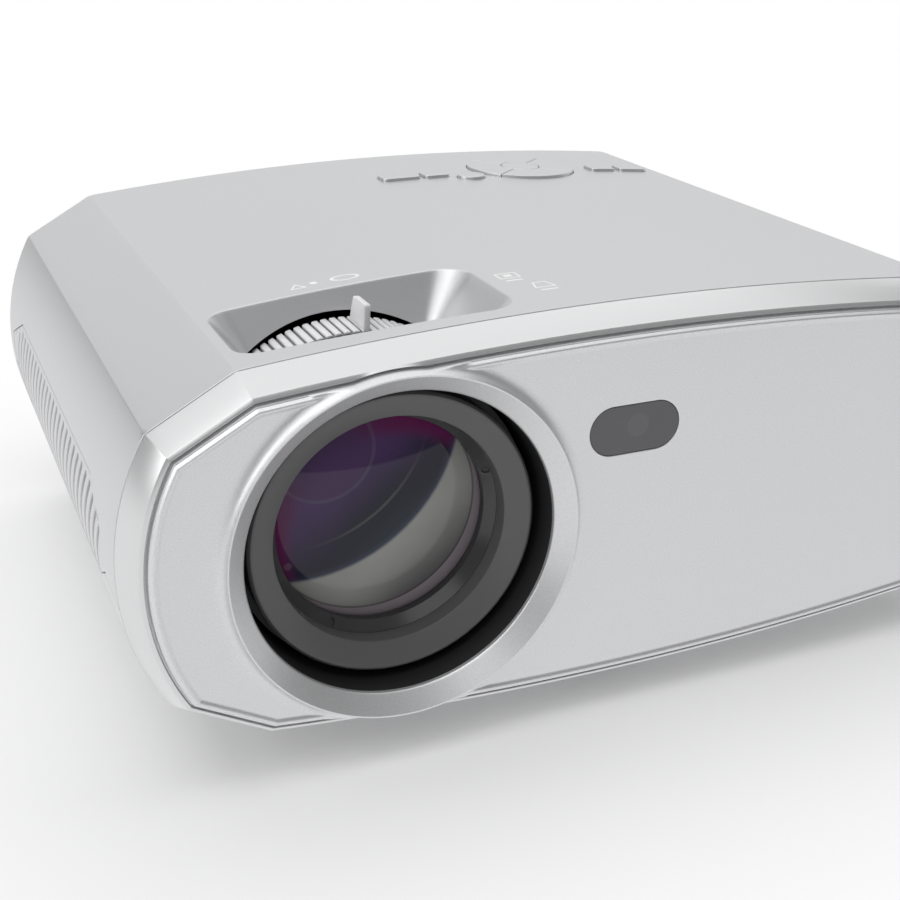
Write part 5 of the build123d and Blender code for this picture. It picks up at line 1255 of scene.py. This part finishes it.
def floor_finish(colour):
    """Pale matt floor with a faint mottle that runs out to plain white away from the object."""
    nodes = Nodes("Pale floor")
    nodes.set(Base_Color=nodes.mix(nodes.noise(6.0, 3.0), shade(colour, 0.99), shade(colour, 1.01)))
    nodes.set(Roughness=0.9, Specular_IOR_Level=0.1)
    beyond = nodes.vector("SUBTRACT", nodes.vector("ABSOLUTE", nodes.where), (0.15, 0.11, 0))
    away = nodes.vector("LENGTH", nodes.vector("MAXIMUM", beyond, (0, 0, 0)))
    path = nodes.add("ShaderNodeLightPath")
    seen = nodes.times(nodes.step(away, -0.02, 0.2), path.outputs["Is Camera Ray"])
    white = nodes.add("ShaderNodeEmission", {"Color": (1, 1, 1, 1), "Strength": 1.0})
    share = nodes.math("MAXIMUM", seen, path.outputs["Is Glossy Ray"])
    both = nodes.add("ShaderNodeMixShader", {0: share, 1: nodes.shader.outputs[0], 2: white.outputs[0]})
    nodes.give(nodes.tree.nodes["Material Output"].inputs["Surface"], both.outputs[0])
    return nodes.material


def dress_rest(colours):
    """Gives every CAD node that still shows the finish of its slot."""
    finishes = {
        "black_plastic": moulded("Black plastic", colours.black, 0.45),
        "board": board_finish("Circuit board"),
        "rear_plastic": moulded("Rear plastic", colours.rear, 0.5, 0.04, 1400.0),
        "clear_glass": glass("Clear glass", (0.95, 0.98, 0.97)),
        "acrylic": glass("Acrylic", (0.97, 0.98, 1.0)),
        "dark_metal": moulded("Dark paint", (0.02, 0.02, 0.022), 0.35),
        "steel": metal("Plated steel", (0.6, 0.6, 0.61), 0.28),
        "mirror": metal("Mirror", (0.9, 0.91, 0.92), 0.1),
        "liquid_crystal": moulded("Liquid crystal", (0.01, 0.01, 0.014), 0.12, 0.0),
        "aluminium": metal("Aluminium", (0.75, 0.76, 0.77), 0.35),
        "components": moulded("Components", (0.03, 0.025, 0.02), 0.4),
        "rubber": moulded("Rubber", (0.012, 0.012, 0.012), 0.75, 0.05, 900.0),
        "brass": metal("Brass", (0.75, 0.55, 0.22), 0.3),
    }
    slots = {part["node"]: part["material_slot"] for part in frame["record"]["subparts"]}
    for node, shown in frame["nodes"].items():
        if not shown.hide_render:
            shown.data.materials.clear()
            shown.data.materials.append(finishes[slots[node]])


# Studio

def light(name, where, towards, size, radiance):
    """A soft square light aimed at a point; its power is the radiance times pi times its area."""
    data = bpy.data.lights.new(name, "AREA")
    data.shape = "RECTANGLE"
    data.size, data.size_y = size
    data.energy = radiance * math.pi * size[0] * size[1]
    lamp = bpy.data.objects.new(name, data)
    bpy.context.scene.collection.objects.link(lamp)
    lamp.location = where
    lamp.rotation_euler = (Vector(towards) - Vector(where)).to_track_quat("-Z", "Y").to_euler()
    lamp.visible_camera = False


def lay_floor(colour):
    """The pale floor, staged so that it keeps the object's shadow."""
    reach = 6.0
    mesh = bpy.data.meshes.new("floor")
    mesh.from_pydata([(-reach, -reach, 0), (reach, -reach, 0), (reach, reach, 0), (-reach, reach, 0)], [],
                     [(0, 1, 2, 3)])
    floor = bpy.data.objects.new("floor", mesh)
    bpy.context.scene.collection.objects.link(floor)
    floor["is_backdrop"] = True
    mesh.materials.append(floor_finish(colour))


def light_world():
    """Grey surroundings for the light, white ones for the camera."""
    world = bpy.data.worlds.new("Studio")
    bpy.context.scene.world = world
    world.use_nodes = True
    tree = world.node_tree
    path = tree.nodes.new("ShaderNodeLightPath")
    strength = tree.nodes.new("ShaderNodeMapRange")
    strength.inputs["To Min"].default_value = 0.2
    tree.links.new(path.outputs["Is Camera Ray"], strength.inputs["Value"])
    tree.links.new(strength.outputs["Result"], tree.nodes["Background"].inputs["Strength"])
    tree.nodes["Background"].inputs["Color"].default_value = (1, 1, 1, 1)


def place_camera():
    """The camera where the photograph was taken, told by its place, heading, drop and roll."""
    place, focal_length = (-0.215, -0.48765, 0.2685), 56.4
    azimuth, elevation, roll = math.radians(22.68), math.radians(22.78), math.radians(-0.12)
    data = bpy.data.cameras.new("camera")
    data.sensor_width, data.lens, data.clip_start = 36.0, focal_length, 0.01
    camera = bpy.data.objects.new("camera", data)
    scene = bpy.context.scene
    scene.collection.objects.link(camera)
    scene.camera = camera
    ahead = Vector((math.sin(azimuth) * math.cos(elevation), math.cos(azimuth) * math.cos(elevation),
                    -math.sin(elevation)))
    turn = ahead.to_track_quat("-Z", "Y").to_matrix().to_4x4() @ Matrix.Rotation(roll, 4, "Z")
    camera.matrix_world = Matrix.Translation(place) @ turn


# Operators

class PROJECTOR_OT_covers(bpy.types.Operator):
    """Build the top and bottom covers"""
    bl_idname = "projector.covers"
    bl_label = "Covers"

    def execute(self, context):
        colour = context.scene.projector_colours.shell
        build_cover("top_cover", 1, silver("Marked shell", colour, 0.38, 0.05, 0.02, cover_marks))
        build_cover("bottom_cover", -1, silver("Silver shell", colour, 0.38, 0.05, 0.02))
        return {"FINISHED"}


class PROJECTOR_OT_front(bpy.types.Operator):
    """Build the bezel, the front panel and the sensor window"""
    bl_idname = "projector.front"
    bl_label = "Front"

    def execute(self, context):
        colours = context.scene.projector_colours
        build_bezel(silver("Silver bezel", colours.bezel, 0.3, 0.03, 0.0))
        build_panel(silver("Flecked silver", colours.face, 0.4, 0.16, 0.06))
        build_window(smoked("Smoked window", colours.window, context.scene.projector_front))
        return {"FINISHED"}


class PROJECTOR_OT_lens(bpy.types.Operator):
    """Build the shroud, the barrel, its ring and the front glass"""
    bl_idname = "projector.lens"
    bl_label = "Lens"

    def execute(self, context):
        colours, lens = context.scene.projector_colours, context.scene.projector_lens
        black = moulded("Shroud black", colours.black, 0.4)
        dark = moulded("Barrel grey", colours.barrel, 0.38, 0.03, 1500.0)
        profile = [(50.6, -9.8), (54.6, -9.8), (54.6, -8.2), (52.2, -8.2), (52.2, 31), (50.6, 31)]
        make_piece("lens_shroud", [turned_piece(profile, 0.2 * MM)], black, "housing")
        profile = [
            (38.5, 0.45), (45.8, -2.9), (46.5, -2.9), (47.4, -2.0), (47.4, 50.1), (40, 50.1), (40, 28),
            (33, 28), (33, 24), (36, 24), (36, 18.3), (38.5, 18.3),
        ]
        make_piece("lens_barrel", [turned_piece(profile, 0.35 * MM)], dark, "barrel")
        build_retaining_ring(moulded("Ring black", shade(colours.barrel, 0.45), 0.22, 0.01))
        front = glass_piece(38.3, (13.8, 17.5), 7.62, 5.34)
        coated = coated_lens("Coated glass", colours.coating, lens)
        make_piece("front_lens", front, coated, "barrel", 50.0)
        return {"FINISHED"}


class PROJECTOR_OT_ring(bpy.types.Operator):
    """Build the ribbed focus ring"""
    bl_idname = "projector.ring"
    bl_label = "Focus Ring"

    def execute(self, context):
        build_ring(ribbed("Ring plastic", context.scene.projector_colours.ring, context.scene.projector_lens))
        return {"FINISHED"}


class PROJECTOR_OT_grilles(bpy.types.Operator):
    """Build the two side grilles"""
    bl_idname = "projector.grilles"
    bl_label = "Grilles"

    def execute(self, context):
        finish = silver("Grille silver", context.scene.projector_colours.shell, 0.4, 0.05, 0.02)
        build_grille("left_grille", -1, finish)
        build_grille("right_grille", 1, finish)
        return {"FINISHED"}


class PROJECTOR_OT_keys(bpy.types.Operator):
    """Build the ten keys"""
    bl_idname = "projector.keys"
    bl_label = "Keys"

    def execute(self, context):
        finish = silver("Key silver", context.scene.projector_colours.shell, 0.35, 0.04, 0.02)
        for name, place in BARS.items():
            build_key(name, rectangle(*place), 2.0 * MM, 0.25 * MM, finish)
        for name, (x, y, radius) in (("power_key", POWER), ("ok_key", (PAD[0], PAD[1], 8.5 * MM))):
            build_key(name, rectangle(x, y, 2 * radius, 2 * radius), radius - 0.001 * MM, 0.35 * MM, finish)
        for name, turn in (("right_key", 0), ("up_key", 90), ("left_key", 180), ("down_key", 270)):
            build_quarter(name, math.radians(turn), finish)
        return {"FINISHED"}


class PROJECTOR_OT_back(bpy.types.Operator):
    """Soften the rear panel, its sockets and the feet"""
    bl_idname = "projector.back"
    bl_label = "Back and Feet"

    def execute(self, context):
        colours = context.scene.projector_colours
        rear = moulded("Rear plastic", colours.rear, 0.45, 0.04, 1400.0)
        black = moulded("Socket black", colours.black, 0.4)
        plated = metal("Socket plating", (0.6, 0.6, 0.61), 0.28)
        rubber = moulded("Foot rubber", (0.02, 0.02, 0.02), 0.75, 0.05, 900.0)
        soften_copy("rear_panel", 0.35 * MM, rear, "housing")
        for name in ("power_inlet", "audio_jack"):
            soften_copy(name, 0.2 * MM, black, "housing")
        for name in ("hdmi_sockets", "usb_sockets", "housing_screws"):
            soften_copy(name, 0.12 * MM, plated, "housing")
        soften_copy("rear_feet", 0.5 * MM, rubber, "housing")
        soften_copy("foot_pad", 0.5 * MM, rubber, "foot")
        return {"FINISHED"}


class PROJECTOR_OT_inner(bpy.types.Operator):
    """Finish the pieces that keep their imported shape"""
    bl_idname = "projector.inner"
    bl_label = "Inner Pieces"

    def execute(self, context):
        dress_rest(context.scene.projector_colours)
        return {"FINISHED"}


class PROJECTOR_OT_stage(bpy.types.Operator):
    """Lay the floor, the lights and the camera"""
    bl_idname = "projector.stage"
    bl_label = "Studio"

    def execute(self, context):
        lay_floor(context.scene.projector_colours.floor)
        aim = (0, 0, 0.07)
        light("Key light", (-0.8, -0.9, 1.8), aim, (1.9, 1.9), 1.25)
        light("Top light", (0.15, 0.5, 1.8), (0.15, 0.5, 0), (3.2, 2.8), 0.95)
        light("Left light", (-1.6, -0.1, 0.8), aim, (1.1, 1.1), 2.4)
        light("Right light", (1.6, 0.4, 0.5), aim, (1.1, 1.1), 0.7)
        light("Back light", (0.9, 2.6, 1.2), (0, 0, 0.3), (5.0, 2.2), 0.66)
        light_world()
        place_camera()
        context.scene.view_settings.view_transform = "Standard"
        return {"FINISHED"}


OPERATORS = (
    PROJECTOR_OT_covers,
    PROJECTOR_OT_front,
    PROJECTOR_OT_lens,
    PROJECTOR_OT_ring,
    PROJECTOR_OT_grilles,
    PROJECTOR_OT_keys,
    PROJECTOR_OT_back,
    PROJECTOR_OT_inner,
    PROJECTOR_OT_stage,
)
GROUPS = {
    "projector_body": ProjectorBody,
    "projector_front": ProjectorFront,
    "projector_lens": ProjectorLens,
    "projector_recess": ProjectorRecess,
    "projector_colours": ProjectorColours,
}


class PROJECTOR_PT_panel(bpy.types.Panel):
    """Lists the projector's operators and sizes"""
    bl_idname = "PROJECTOR_PT_panel"
    bl_label = "Projector"
    bl_space_type = "VIEW_3D"
    bl_region_type = "UI"
    bl_category = "Projector"

    def draw(self, context):
        for operator in OPERATORS:
            self.layout.operator(operator.bl_idname)
        for place, group in GROUPS.items():
            box = self.layout.box()
            for name in group.__annotations__:
                box.prop(getattr(context.scene, place), name)


CLASSES = tuple(GROUPS.values()) + OPERATORS + (PROJECTOR_PT_panel,)


def register():
    for item in CLASSES:
        bpy.utils.register_class(item)
    for place, group in GROUPS.items():
        setattr(bpy.types.Scene, place, PointerProperty(type=group))


def unregister():
    for place in GROUPS:
        delattr(bpy.types.Scene, place)
    for item in reversed(CLASSES):
        bpy.utils.unregister_class(item)


def main():
    """Registers the add-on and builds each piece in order."""
    register()
    bpy.ops.projector.covers()
    bpy.ops.projector.front()
    bpy.ops.projector.lens()
    bpy.ops.projector.ring()
    bpy.ops.projector.grilles()
    bpy.ops.projector.keys()
    bpy.ops.projector.back()
    bpy.ops.projector.inner()
    bpy.ops.projector.stage()
    boxes = [[list(corner) for corner in box] for box in (cad_box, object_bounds())]


if __name__ == "__main__":
    main()
